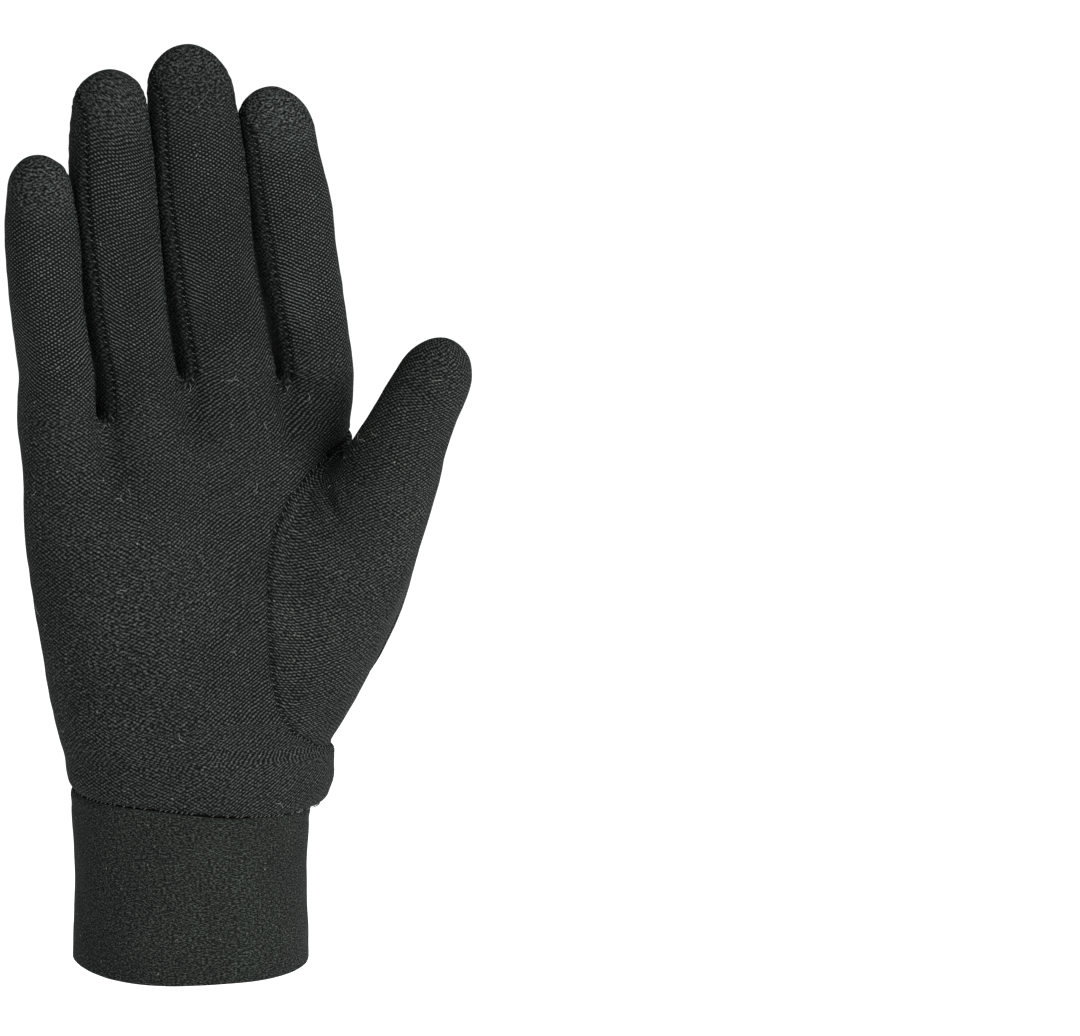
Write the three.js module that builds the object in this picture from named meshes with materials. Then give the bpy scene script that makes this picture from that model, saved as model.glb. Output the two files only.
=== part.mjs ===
import * as THREE from 'three';

// Knit glove liner for the right hand, in millimetres. +Z runs to the fingertips, the palm faces -Y and
// the thumb is on +X. The origin is the centre of the open bottom of the cuff.

// Cloth
const wall = 1.2; // knit of the hand
const cuffWall = 2.0; // folded double knit of the cuff
const seamGap = 0.44; // space left between two pieces along a seam

// Cuff
const cuffHeight = 42.6;
const cuffWidth = 61;
const cuffDepth = 50;
const cuffRound = 0.9; // rounding of the folded lower edge
const seamFall = 0.112; // fall of the cuff seam towards the thumb's side, for each mm across
const hemFall = 0.045; // the same for the cuff's lower edge

// Hand, from the cuff seam up to the roots of the middle finger
const palmLength = 108.5;
const knuckleDepth = 30;
const fingerSpace = 1.6; // between two fingers at their roots
const fingerDepth = 21.5; // front to back, near the root

// Fingers, from the crotch of the middle finger's height to the tip
const littleLength = 53.5;
const ringLength = 73.8;
const middleLength = 79.3;
const indexLength = 68.8;
const littleWidth = 17.8;
const ringWidth = 19.5;
const middleWidth = 24.9;
const indexWidth = 20.3;

// Thumb, along its own line from the middle of its hole to the tip
const thumbLength = 79.7;
const thumbWidth = 20.8;

const cuffTop = cuffHeight + seamGap;
const palmWidth = littleWidth + ringWidth + middleWidth + indexWidth + 3 * fingerSpace;
const palmShift = -0.003 * palmWidth; // the palm lies a little to the little finger's side

// A finger's front and back cloth meet its side strips at this angle from the middle of the front
const seamAngle = THREE.MathUtils.degToRad(56);
const sideAngle = Math.PI / 2;

// Squareness of the sections: 2 is an ellipse, more is boxier
const palmSquareness = 2.5;
const wristSquareness = 2.1;
const fingerPower = 2 / 2.15;
const thumbPower = 2 / 2.1;
const domePower = 1.03; // the same for a fingertip: 1 is round, more is more pointed

const crotchDip = 0.75; // how far a fourchette dips between two fingers, as a share of the space there
const rootBlend = 0.78; // share of the way up the hand where the fingers' roots begin to show

// Mesh fineness
const tongueCells = 6; // across the front of one finger
const webCells = 2; // across the space between two fingers
const stripCells = 3; // across a fourchette
const bendCells = 4; // round the bottom of a fourchette
const shaftCells = 6; // along a finger up to its dome
const domeCells = 5; // over a fingertip
const stripEnd = 1.4; // where a fourchette runs out on the dome
const stripTip = 0.02; // its last row lies this far before that, so that it ends a little blunt
const cuffCells = 32; // round the cuff
const stillColumn = -0.3; // columns further from the thumb than this aren't drawn aside from its hole
const edgeSpread = 0.6; // evenness of the columns beside the hole: 1 is as at the finger roots

// Hand sections from the cuff seam (0) to the finger roots (1).
// left, right: reach to each side, 0 as wide as half the cuff, 1 as half the palm.
// front, back: depth to each side, 0 as deep as half the cuff, 1 as half the knuckles.
const handSections = [
  { up: 0.0, left: 0.0, right: 0.24, front: 0.04, back: 0.04 },
  { up: 0.03, left: 0.11, right: 0.46, front: -0.02, back: 0.02 },
  { up: 0.09, left: 0.17, right: 0.57, front: 0.0, back: 0.12 },
  { up: 0.17, left: 0.32, right: 0.58, front: 0.02, back: 0.26 },
  { up: 0.35, left: 0.57, right: 0.63, front: 0.08, back: 0.48 },
  { up: 0.54, left: 0.79, right: 0.68, front: 0.3, back: 0.68 },
  { up: 0.73, left: 0.96, right: 0.79, front: 0.7, back: 0.86 },
  { up: 0.9, left: 0.97, right: 0.96, front: 1.0, back: 0.98 },
  { up: 1.0, left: 1.0, right: 1.0, front: 1.1, back: 1.0 },
];

// Soft bulges (+) and hollows (-) of the hand, as shares of the knuckle depth. across runs from -1 at the
// little finger's edge to +1 at the thumb's, up from the cuff seam to the finger roots.
const handForms = [
  { side: 'front', across: 0.0, up: 0.6, wide: 0.34, high: 0.2, rise: -0.09 }, // hollow of the palm
  { side: 'front', across: -0.55, up: 0.38, wide: 0.34, high: 0.24, rise: 0.05 }, // heel of the hand
  { side: 'front', across: -0.2, up: 0.86, wide: 0.6, high: 0.09, rise: 0.03 }, // pads under the fingers
  { side: 'back', across: 0.1, up: 0.84, wide: 0.6, high: 0.12, rise: 0.035 }, // knuckles
];

// How far below the middle finger's root the palm ends, as a share of the palm length, at the little
// finger's edge, at the three crotches and at the index finger's edge
const rootDrops = [0.095, 0.087, 0.0, 0.019, 0.03];

// Seam round the thumb's hole. palm, back: where it lies across the front and the back of the hand.
const thumbSeam = [
  { up: 0.12, palm: 1.0, back: 1.0 },
  { up: 0.135, palm: 0.78, back: 0.975 },
  { up: 0.165, palm: 0.56, back: 0.955 },
  { up: 0.21, palm: 0.39, back: 0.945 },
  { up: 0.28, palm: 0.31, back: 0.94 },
  { up: 0.38, palm: 0.29, back: 0.935 },
  { up: 0.5, palm: 0.31, back: 0.93 },
  { up: 0.61, palm: 0.36, back: 0.93 },
  { up: 0.69, palm: 0.45, back: 0.935 },
  { up: 0.75, palm: 0.58, back: 0.945 },
  { up: 0.81, palm: 0.77, back: 0.965 },
  { up: 0.87, palm: 1.0, back: 1.0 },
];

// Finger sections from the root (0) to the start of the fingertip's dome (1), as shares of the width and
// of the finger depth
const fingerSections = [
  { up: 0.0, width: 1.0, front: 0.54, back: 0.54 },
  { up: 0.2, width: 1.0, front: 0.47, back: 0.47 },
  { up: 0.5, width: 1.0, front: 0.43, back: 0.43 },
  { up: 0.75, width: 1.02, front: 0.42, back: 0.39 },
  { up: 1.0, width: 0.89, front: 0.39, back: 0.35 },
];

// full: width at half height as a share of the width at the root. lean: shift of the tip to the thumb's
// side, curl: to the palm's side, bow: of the middle of the finger to the back, all as shares of the
// finger's length. early: below 1 the finger leans most near its root. depth: place of the root to the
// back, as a share of the knuckle depth.
const fingers = [
  { full: 0.98, lean: -0.085, early: 0.85, curl: 0.02, bow: 0.03, depth: 0.04 }, // little
  { full: 1.07, lean: -0.1, early: 0.85, curl: 0.03, bow: 0.03, depth: 0.01 }, // ring
  { full: 0.97, lean: -0.135, early: 1.0, curl: 0.04, bow: 0.03, depth: 0.0 }, // middle
  { full: 1.05, lean: -0.187, early: 1.3, curl: 0.05, bow: 0.03, depth: 0.0 }, // index
];

// Line of the thumb's middle, from the ring where the gusset ends (0) to the start of the tip's dome (1).
// x, y and z are shares of the thumb length away from the middle of the hole, half and deep are shares of
// the thumb width.
const thumbSections = [
  { along: 0.0, x: 0.055, y: -0.31, z: 0.4, half: 0.6, deep: 0.56 },
  { along: 0.5, x: 0.084, y: -0.385, z: 0.553, half: 0.495, deep: 0.49 },
  { along: 1.0, x: 0.115, y: -0.45, z: 0.68, half: 0.447, deep: 0.43 },
];
// How far the thumb's inner side turns to the back of the hand
const thumbTurn = THREE.MathUtils.degToRad(38);
const fingerDome = 0.52; // height of a fingertip's dome as a share of the finger's width
const thumbDome = 0.62; // height of the tip's dome as a share of the thumb width
const gussetPull = 0.34; // how far the gusset keeps its first direction, as a share of its length
const gussetRise = 0.4; // how much that direction leans along the thumb
const gussetSwell = 0.76; // how much it leans out of the hand
const gussetCells = 6;
const thumbShaftCells = 4;

const colours = { hand: 0x2b2f2d, side: 0x252a28, thumb: 0x2d312f, cuff: 0x262a28 };

const lerp = THREE.MathUtils.lerp;
const clamp = THREE.MathUtils.clamp;

// Smooth curve through one column of a table: a cubic between the rows, with level-free slopes
function tableAt(table, key, column, at) {
  const last = table.length - 1;
  let i = 0;
  while (i < last - 1 && at > table[i + 1][key]) i += 1;
  const slope = (k) => {
    const low = table[Math.max(k - 1, 0)];
    const high = table[Math.min(k + 1, last)];
    return (high[column] - low[column]) / (high[key] - low[key]);
  };
  const span = table[i + 1][key] - table[i][key];
  const t = clamp((at - table[i][key]) / span, 0, 1);
  const ease = t * t * (3 - 2 * t);
  const start = table[i][column] + slope(i) * span * t;
  const end = table[i + 1][column] - slope(i + 1) * span * (1 - t);
  return lerp(start, end, ease);
}

function power(value, exponent) {
  return Math.sign(value) * Math.abs(value) ** exponent;
}

// Fingers

const fingerLengths = [littleLength, ringLength, middleLength, indexLength];
const fingerWidths = [littleWidth, ringWidth, middleWidth, indexWidth];
let reach = -palmWidth / 2 + palmShift;
fingers.forEach((finger, index) => {
  finger.length = fingerLengths[index];
  finger.width = fingerWidths[index];
  finger.x = reach + finger.width / 2;
  finger.y = finger.depth * knuckleDepth;
  reach += finger.width + fingerSpace;
});

const crotchStations = [
  fingers[0].x - fingers[0].width / 2,
  ...fingers.slice(1).map((finger) => finger.x - (finger.width + fingerSpace) / 2),
  fingers[3].x + fingers[3].width / 2,
];

// Height at which the palm ends and the fingers begin, over a point x of the hand's width
function rootHeight(x) {
  const stations = crotchStations.map((station, i) => ({ x: station, drop: rootDrops[i] }));
  let i = 0;
  while (i < stations.length - 2 && x > stations[i + 1].x) i += 1;
  const t = clamp((x - stations[i].x) / (stations[i + 1].x - stations[i].x), 0, 1);
  const drop = lerp(stations[i].drop, stations[i + 1].drop, t * t * (3 - 2 * t));
  return cuffTop + palmLength * (1 - drop);
}

// Point of a finger's skin. angle runs round the finger from the middle of its front to its thumb side,
// inset lies below the outer face. up is 0 at the root, 1 where the dome starts and 2 at the tip.
function fingerPoint(finger, angle, up, inset) {
  const shaft = Math.min(up, 1);
  const lift = Math.max(up - 1, 0) * sideAngle;
  const width = finger.width * lerp(1, finger.full, THREE.MathUtils.smoothstep(shaft, 0, 0.4));
  const half = tableAt(fingerSections, 'up', 'width', shaft) * width / 2 - inset;
  const side = Math.cos(angle) > 0 ? 'front' : 'back';
  const deep = tableAt(fingerSections, 'up', side, shaft) * fingerDepth - inset;
  const shrink = Math.cos(lift) ** domePower;
  const across = half * shrink * power(Math.sin(angle), fingerPower);
  const depth = -deep * shrink * power(Math.cos(angle), fingerPower);

  const root = rootHeight(finger.x + half * Math.sin(angle));
  const tip = cuffTop + palmLength + finger.length;
  const domeHeight = fingerDome * finger.width;
  const z = lerp(root, tip - domeHeight, shaft) + (domeHeight - inset) * Math.sin(lift);
  const run = clamp((z - cuffTop - palmLength) / finger.length, 0, 1);
  const x = finger.x + finger.lean * finger.length * run ** finger.early + across;
  const bow = finger.bow * 4 * run * (1 - run) - finger.curl * run * run;
  return new THREE.Vector3(x, finger.y + bow * finger.length + depth, z);
}

// Point of the fold between two fingers: from the thumb side of one to the near side of the next, dipping
// in a round between them
function crotchPoint(index, angle, along, inset) {
  const from = fingerPoint(fingers[index], angle, 0, inset);
  const to = fingerPoint(fingers[index + 1], -angle, 0, inset);
  const dip = crotchDip * (to.x - from.x);
  const point = from.clone().lerp(to, along);
  point.z -= dip * Math.sin(Math.PI * along);
  return point;
}

// Hand

// Columns across the hand at the finger roots: the front of each finger and the space to the next
function rootColumns() {
  const columns = [];
  fingers.forEach((finger, index) => {
    const from = index === 0 ? -sideAngle : -seamAngle;
    const to = index === 3 ? sideAngle : seamAngle;
    for (let k = 0; k <= tongueCells; k += 1) {
      columns.push({ finger: index, angle: lerp(from, to, k / tongueCells) });
    }
    for (let k = 1; k < webCells && index < 3; k += 1) {
      columns.push({ finger: index, along: k / webCells });
    }
  });
  return columns;
}

// A column's point on the skin at the finger roots. side is +1 on the palm and -1 on the back.
function rootPoint(column, side, inset) {
  if (column.along === undefined) {
    const angle = side > 0 ? column.angle : Math.PI - column.angle;
    return fingerPoint(fingers[column.finger], angle, 0, inset);
  }
  return crotchPoint(column.finger, side > 0 ? seamAngle : Math.PI - seamAngle, column.along, inset);
}

function handForm(side, across, up) {
  let rise = 0;
  for (const form of handForms.filter((entry) => entry.side === side)) {
    const away = ((across - form.across) / form.wide) ** 2 + ((up - form.up) / form.high) ** 2;
    rise += form.rise * knuckleDepth * Math.exp(-away);
  }
  return rise;
}

// Point of the hand between the cuff seam and the finger roots
function handPoint(column, side, across, up, inset) {
  const at = (name) => tableAt(handSections, 'up', name, up);
  const halfPalm = palmWidth / 2;
  const left = -lerp(cuffWidth / 2, halfPalm - palmShift, at('left')) + inset;
  const right = lerp(cuffWidth / 2, halfPalm + palmShift, at('right')) - inset;
  const name = side > 0 ? 'front' : 'back';
  const depth = lerp(cuffDepth / 2, knuckleDepth / 2, at(name)) - inset;
  const squareness = lerp(wristSquareness, palmSquareness, clamp(up * 2, 0, 1));
  const crown = Math.sqrt(Math.max(1 - Math.abs(across) ** squareness, 0));
  const x = lerp(left, right, (across + 1) / 2);
  const y = -side * (depth + handForm(name, across, up)) * crown;
  const outer = lerp(-halfPalm, halfPalm, (across + 1) / 2) + palmShift;
  const z = lerp(cuffTop, rootHeight(outer), up) - seamFall * x * (1 - up) ** 3;
  const point = new THREE.Vector3(x, y, z);

  const root = rootPoint(column, side, inset);
  const blend = THREE.MathUtils.smoothstep(up, rootBlend, 1);
  root.z = z + (root.z - rootHeight(outer));
  return point.lerp(root, blend);
}

// Where a column lies across the hand: as at the finger roots, but drawn aside from the thumb's hole,
// where the columns lie more evenly
function acrossAt(column, side, up) {
  const root = rootPoint(column, side, 0);
  const across = clamp((root.x - palmShift) / (palmWidth / 2), -1, 1);
  if (up <= thumbSeam[0].up || up >= thumbSeam.at(-1).up) return across;
  const edge = tableAt(thumbSeam, 'up', side > 0 ? 'palm' : 'back', up);
  if (across < stillColumn) return across;
  const away = (1 - across) / (1 - stillColumn);
  return lerp(edge, stillColumn, away ** lerp(edgeSpread, 1, edge));
}

// Rows up the hand: below the thumb's hole, at each point of its seam, and above it
const handRows = [
  0, 0.03, 0.08,
  ...thumbSeam.map((row) => row.up),
  0.91, 0.955, 1,
];

// Surfaces

// Closed cloth built from cells of points that each have an outer and an inner place
class Cloth {
  constructor() {
    this.outer = [];
    this.inner = [];
    this.cells = [];
  }

  add(outer, inner) {
    this.outer.push(outer);
    this.inner.push(inner);
    return this.outer.length - 1;
  }

  // Cells between the rows of a grid of point numbers, a triangle where two corners are the same point
  addGrid(grid, flip) {
    for (let r = 0; r + 1 < grid.length; r += 1) {
      for (let k = 0; k + 1 < grid[r].length; k += 1) {
        const cell = [grid[r][k], grid[r][k + 1], grid[r + 1][k + 1], grid[r + 1][k]];
        if (flip) cell.reverse();
        this.cells.push(cell.filter((corner, i) => corner !== cell[(i + 1) % 4]));
      }
    }
  }

  // Edges that only one cell uses, as a map from each border point to the next one
  border() {
    const next = new Map();
    const used = new Set();
    const edges = this.cells.flatMap((cell) => cell.map((a, i) => [a, cell[(i + 1) % cell.length]]));
    edges.forEach(([a, b]) => used.add(`${a} ${b}`));
    edges.filter(([a, b]) => !used.has(`${b} ${a}`)).forEach(([a, b]) => next.set(a, b));
    return next;
  }

  // Leaves half of the seam's space along the border: each border point moves into the cloth, square to
  // the two border edges that meet there
  drawIn(points, next) {
    const moves = new Map([...next.keys()].map((corner) => [corner, new THREE.Vector3()]));
    for (const cell of this.cells) {
      const across = points[cell.at(-1)].clone().sub(points[cell[1]]);
      const normal = points[cell[2]].clone().sub(points[cell[0]]).cross(across);
      for (const corner of cell.filter((entry, i) => next.get(entry) === cell[(i + 1) % cell.length])) {
        const edge = points[next.get(corner)].clone().sub(points[corner]);
        const inward = normal.clone().cross(edge).normalize();
        moves.get(corner).add(inward);
        moves.get(next.get(corner)).add(inward);
      }
    }
    for (const [corner, move] of moves) {
      points[corner].addScaledVector(move, seamGap / Math.max(move.lengthSq(), 1));
    }
  }

  mesh(name, colour) {
    const next = this.border();
    this.drawIn(this.outer, next);
    this.drawIn(this.inner, next);
    const points = [...this.outer, ...this.inner];
    const under = this.outer.length;
    const faces = [];
    const addFace = (corners) => {
      if (corners.length === 3) {
        faces.push(...corners);
        return;
      }
      const [a, b, c, d] = corners;
      const first = points[a].distanceTo(points[c]) <= points[b].distanceTo(points[d]);
      faces.push(...(first ? [a, b, c, a, c, d] : [a, b, d, b, c, d]));
    };
    for (const cell of this.cells) {
      addFace(cell);
      addFace(cell.map((corner) => corner + under).reverse());
    }
    for (const [a, b] of next) {
      // The diagonal starts at the lower point, so that it runs the same way on both sides of a seam
      const rising = points[a].z < points[b].z;
      faces.push(b, a, (rising ? b : a) + under, rising ? a : b, a + under, b + under);
    }
    return namedMesh(name, points, faces, colour);
  }
}

function namedMesh(name, points, faces, colour) {
  const geometry = new THREE.BufferGeometry().setFromPoints(points);
  geometry.setIndex(faces);
  geometry.computeVertexNormals();
  const material = new THREE.MeshStandardMaterial({ color: colour, roughness: 0.95, metalness: 0 });
  const mesh = new THREE.Mesh(geometry, material);
  mesh.name = name;
  return mesh;
}

// Heights of a finger's rows: evenly up the shaft, then over the dome to the tip
const fingerRows = [];
for (let r = 1; r <= shaftCells; r += 1) fingerRows.push(r / shaftCells);
for (let r = 1; r <= domeCells; r += 1) fingerRows.push(1 + r / domeCells);

// Angle of the seam beside a side strip: it closes over the side strip's end on the dome
function seamAngleAt(up) {
  return lerp(seamAngle, sideAngle, THREE.MathUtils.smoothstep(up, 0.85, stripEnd));
}

// Front (side +1) or back (side -1) of the hand with its four fingers
function makePanel(name, side) {
  const cloth = new Cloth();
  const columns = rootColumns();
  const pointAt = (column, up) => {
    const across = acrossAt(column, side, up);
    return cloth.add(
      handPoint(column, side, across, up, 0),
      handPoint(column, side, across, up, wall),
    );
  };
  const hand = handRows.map((up) => columns.map((column) => pointAt(column, up)));
  cloth.addGrid(hand, side < 0);

  fingers.forEach((finger, index) => {
    const first = columns.findIndex((column) => column.finger === index);
    const roots = hand.at(-1).slice(first, first + tongueCells + 1);
    const rows = fingerRows.slice(0, -1).map((up) => roots.map((_, k) => {
      const from = index === 0 ? -sideAngle : -seamAngleAt(up);
      const to = index === 3 ? sideAngle : seamAngleAt(up);
      const front = lerp(from, to, k / tongueCells);
      const angle = side > 0 ? front : Math.PI - front;
      return cloth.add(fingerPoint(finger, angle, up, 0), fingerPoint(finger, angle, up, wall));
    }));
    const tip = cloth.add(fingerPoint(finger, 0, 2, 0), fingerPoint(finger, 0, 2, wall));
    cloth.addGrid([roots, ...rows, roots.map(() => tip)], side < 0);
  });
  return cloth.mesh(name, colours.hand);
}

// Side strip between two fingers: down the thumb side of one, round the crotch and up the next
function makeFourchette(name, index) {
  const cloth = new Cloth();
  const heights = [...fingerRows.filter((up) => up < stripEnd), stripEnd - stripTip];
  const column = (up, k) => {
    const edge = seamAngleAt(up);
    return lerp(edge, Math.PI - edge, k / stripCells);
  };
  const rowOf = (place) => {
    const row = [];
    for (let k = 0; k <= stripCells; k += 1) row.push(cloth.add(place(k, 0), place(k, wall)));
    return row;
  };
  const [near, far] = [fingers[index], fingers[index + 1]];
  const down = heights.map((up) => rowOf((k, inset) => fingerPoint(near, column(up, k), up, inset)));
  const back = heights.map((up) => rowOf((k, inset) => fingerPoint(far, -column(up, k), up, inset)));
  const bend = [];
  for (let b = 0; b <= bendCells; b += 1) {
    bend.push(rowOf((k, inset) => crotchPoint(index, column(0, k), b / bendCells, inset)));
  }
  cloth.addGrid([...down.reverse(), ...bend, ...back], true);
  return cloth.mesh(name, colours.side);
}

// Thumb

const seamRows = thumbSeam.map((row) => row.up);
const edgeColumn = rootColumns().at(-1);

// Points of the seam round the hole: up the back of the hand and down its front
function holePoints(inset) {
  const seamPoint = (side, row) => {
    const across = side > 0 ? row.palm : row.back;
    return handPoint(edgeColumn, side, across, row.up, inset);
  };
  const back = thumbSeam.map((row) => seamPoint(-1, row));
  const front = thumbSeam.slice(1, -1).reverse().map((row) => seamPoint(1, row));
  return [...back, ...front];
}

const axisStep = 0.03; // step along the thumb's line over which its direction is read

function thumbLine(along) {
  const at = (name) => tableAt(thumbSections, 'along', name, along);
  const middle = handPoint(edgeColumn, 1, 1, lerp(seamRows[0], seamRows.at(-1), 0.5), 0);
  return middle.add(new THREE.Vector3(at('x'), at('y'), at('z')).multiplyScalar(thumbLength));
}

// Point of the thumb's skin on the ring at a place along its line. angle runs round from the outer side
// over the back; lift is the angle up the tip's dome.
function thumbPoint(angle, along, lift) {
  const low = Math.min(along, 1 - axisStep);
  const axis = thumbLine(low + axisStep).sub(thumbLine(low)).normalize();
  const inner = new THREE.Vector3(-Math.cos(thumbTurn), Math.sin(thumbTurn), 0);
  inner.addScaledVector(axis, -axis.dot(inner)).normalize();
  const front = axis.clone().cross(inner);
  const wide = thumbWidth * Math.cos(lift) ** domePower;
  const at = (name) => tableAt(thumbSections, 'along', name, along) * wide;
  return thumbLine(along)
    .addScaledVector(inner, -at('half') * power(Math.cos(angle), thumbPower))
    .addScaledVector(front, -at('deep') * power(Math.sin(angle), thumbPower))
    .addScaledVector(axis, thumbDome * thumbWidth * Math.sin(lift));
}

// Gusset line from a seam point to the round thumb: a cubic that leaves the seam square to it along the
// hand's skin, leaning up the thumb and outwards, and arrives along the thumb
function gussetCurve(seam, i, under, arrival, ahead) {
  const point = seam[i];
  const outward = point.clone().sub(under[i]).normalize();
  const after = seam[(i + 1) % seam.length];
  const run = after.clone().sub(seam[(i + seam.length - 1) % seam.length]).normalize();
  const axis = ahead.clone().sub(arrival).normalize();
  const start = outward.clone().cross(run).addScaledVector(axis, gussetRise);
  start.addScaledVector(outward, gussetSwell - start.dot(outward)).normalize();
  const pull = gussetPull * point.distanceTo(arrival);
  return new THREE.CubicBezierCurve3(
    point,
    point.clone().addScaledVector(start, pull),
    arrival.clone().addScaledVector(axis, -pull),
    arrival,
  );
}

function makeThumb() {
  const seam = holePoints(0);
  const under = holePoints(wall);
  const count = seam.length;
  const angleOf = (i) => (2 * Math.PI * i) / count;
  const curves = seam.map((_, i) => {
    const arrival = thumbPoint(angleOf(i), 0, 0);
    return gussetCurve(seam, i, under, arrival, thumbPoint(angleOf(i), axisStep, 0));
  });
  const rings = [];
  for (let r = 0; r <= gussetCells; r += 1) {
    rings.push(curves.map((curve) => curve.getPoint(r / gussetCells)));
  }
  for (let r = 1; r <= thumbShaftCells; r += 1) {
    rings.push(seam.map((_, i) => thumbPoint(angleOf(i), r / thumbShaftCells, 0)));
  }
  for (let r = 1; r < domeCells; r += 1) {
    rings.push(seam.map((_, i) => thumbPoint(angleOf(i), 1, (sideAngle * r) / domeCells)));
  }
  const tip = thumbPoint(0, 1, sideAngle);

  // The inner face lies one wall below, square to the skin
  const inner = rings.map((ring, r) => ring.map((point, i) => {
    if (r === 0) return under[i];
    const round = ring[(i + 1) % count].clone().sub(ring[(i + count - 1) % count]);
    const ahead = (rings[r + 1]?.[i] ?? tip).clone().sub(rings[r - 1][i]);
    return point.clone().addScaledVector(round.cross(ahead).normalize(), -wall);
  }));
  const tipUnder = tip.clone().lerp(thumbLine(1), wall / tip.distanceTo(thumbLine(1)));

  const cloth = new Cloth();
  const grid = rings.map((ring, r) => {
    const row = ring.map((point, i) => cloth.add(point, inner[r][i]));
    return [...row, row[0]];
  });
  const top = cloth.add(tip, tipUnder);
  cloth.addGrid([...grid, grid[0].map(() => top)], false);
  return cloth.mesh('thumb', colours.thumb);
}

// Cuff

// Cuff wall from its upper edge down the outside, round the folded lower edge and up the inside. out is
// the share of the wall's thickness from the inner face, fold the share of the rounding from the bottom.
const cuffProfile = [
  { up: 1.0, out: 1.0, waist: 0 },
  { up: 0.8, out: 1.0, waist: 0.3 },
  { up: 0.5, out: 1.0, waist: 1 },
  { up: 0.2, out: 1.0, waist: 0.5 },
  { fold: 1.0, out: 1.0, waist: 0 },
  { fold: 0.3, out: 0.85, waist: 0 },
  { fold: 0.0, out: 0.5, waist: 0 },
  { fold: 0.3, out: 0.15, waist: 0 },
  { fold: 1.0, out: 0.0, waist: 0 },
  { up: 0.2, out: 0.0, waist: 0.5 },
  { up: 0.5, out: 0.0, waist: 1 },
  { up: 0.8, out: 0.0, waist: 0.3 },
  { up: 1.0, out: 0.0, waist: 0 },
];
const cuffWaist = 0.02; // how far the cuff draws in at half its height, as a share of its width

function makeCuff() {
  const points = [];
  const faces = [];
  for (const ring of cuffProfile) {
    const level = ring.fold === undefined ? ring.up : (ring.fold * cuffRound) / cuffHeight;
    const inset = (1 - ring.out) * cuffWall + (ring.waist * cuffWaist * cuffWidth) / 2;
    for (let k = 0; k < cuffCells; k += 1) {
      const angle = (2 * Math.PI * k) / cuffCells;
      const x = (cuffWidth / 2 - inset) * power(Math.cos(angle), 2 / wristSquareness);
      const y = (cuffDepth / 2 - inset) * power(Math.sin(angle), 2 / wristSquareness);
      points.push(new THREE.Vector3(x, y, level * cuffHeight - lerp(hemFall, seamFall, level) * x));
    }
  }
  for (let r = 0; r < cuffProfile.length; r += 1) {
    for (let k = 0; k < cuffCells; k += 1) {
      const low = ((r + 1) % cuffProfile.length) * cuffCells;
      const high = r * cuffCells;
      const next = (k + 1) % cuffCells;
      faces.push(low + k, low + next, high + next, low + k, high + next, high + k);
    }
  }
  return namedMesh('cuff', points, faces, colours.cuff);
}

const glove = new THREE.Group();
glove.add(
  makePanel('palm_panel', 1),
  makePanel('back_panel', -1),
  makeFourchette('fourchette_little_ring', 0),
  makeFourchette('fourchette_ring_middle', 1),
  makeFourchette('fourchette_middle_index', 2),
  makeThumb(),
  makeCuff(),
);

export default glove;
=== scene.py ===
import math

import bpy
import numpy as np
from mathutils import Matrix, Vector


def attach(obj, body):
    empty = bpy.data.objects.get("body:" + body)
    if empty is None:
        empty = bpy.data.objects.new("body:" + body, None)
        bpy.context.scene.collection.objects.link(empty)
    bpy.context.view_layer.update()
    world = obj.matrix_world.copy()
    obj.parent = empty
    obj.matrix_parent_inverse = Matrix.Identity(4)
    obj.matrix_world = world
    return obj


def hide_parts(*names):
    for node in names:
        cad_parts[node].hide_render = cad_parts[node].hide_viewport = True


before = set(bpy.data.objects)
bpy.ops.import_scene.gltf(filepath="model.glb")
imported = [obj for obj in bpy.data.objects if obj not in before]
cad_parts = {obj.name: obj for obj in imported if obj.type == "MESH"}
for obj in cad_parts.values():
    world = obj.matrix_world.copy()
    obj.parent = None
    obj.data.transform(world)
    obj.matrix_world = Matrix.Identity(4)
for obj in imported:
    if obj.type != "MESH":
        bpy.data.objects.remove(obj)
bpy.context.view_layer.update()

mm = 0.001  # every shape is worked out in millimetres and put into its mesh in metres
up = np.array([0.0, 0.0, 1.0])
rightAngle = math.pi / 2
print("frame loaded")


# Sizes of the glove, in millimetres, as the solids have them

cuff = {
    "height": 42.6,
    "width": 61,
    "depth": 50,
    "wall": 2.0,
    "hemRound": 1.0,
    "seamGap": 0.44,
    "seamFall": 0.112,
    "hemFall": 0.045,
    "waist": 0.02,
    "squareness": 2.1,
    "roll": 0.22,        # how far its upper edge rolls into the seam
    "ridge": 0.12,       # low ridge under the seam
    "dip": 0.1,
    "rollWidth": 0.5,
    "ridgeAt": 1.6,
    "ridgeWidth": 0.8,
    "dipAt": 3.6,
    "dipWidth": 1.0,
    "lumps": 0.16,
    "dimples": 0.05,
    "hemWave": 0.25,
    "loose": 0.8,        # how mixed its fine knit looks
    "columns": 240,
    "rows": 44,
    "gather": 1.6,       # how far the rows are drawn to the upper edge
    "foldRows": 13,
}

hand = {
    "wall": 1.2,
    "palmLength": 108.5,
    "knuckleDepth": 30,
    "fingerSpace": 1.6,
    "fingerDepth": 21.5,
    "shift": -0.003,
    "squareness": 2.5,
    "fingerPower": 2 / 2.15,
    "domePower": 1.03,
    "dome": 0.52,
    "seamAngle": math.radians(56),
    "seamCloses": 0.85,  # where up a finger its side strip starts to narrow
    "fullBy": 0.4,       # share of a finger over which its fullness sets in
    "squareBy": 0.5,
    "crotchDip": 0.75,
    "rootBlend": 0.78,
    "stillColumn": -0.3,
    "edgeSpread": 0.6,
    "rootDrops": [0.095, 0.087, 0.0, 0.019, 0.03],
}


# Rows of a table, each a dictionary with the named columns
def table(columns, *rows):
    return [dict(zip(columns.split(), row)) for row in rows]


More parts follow.
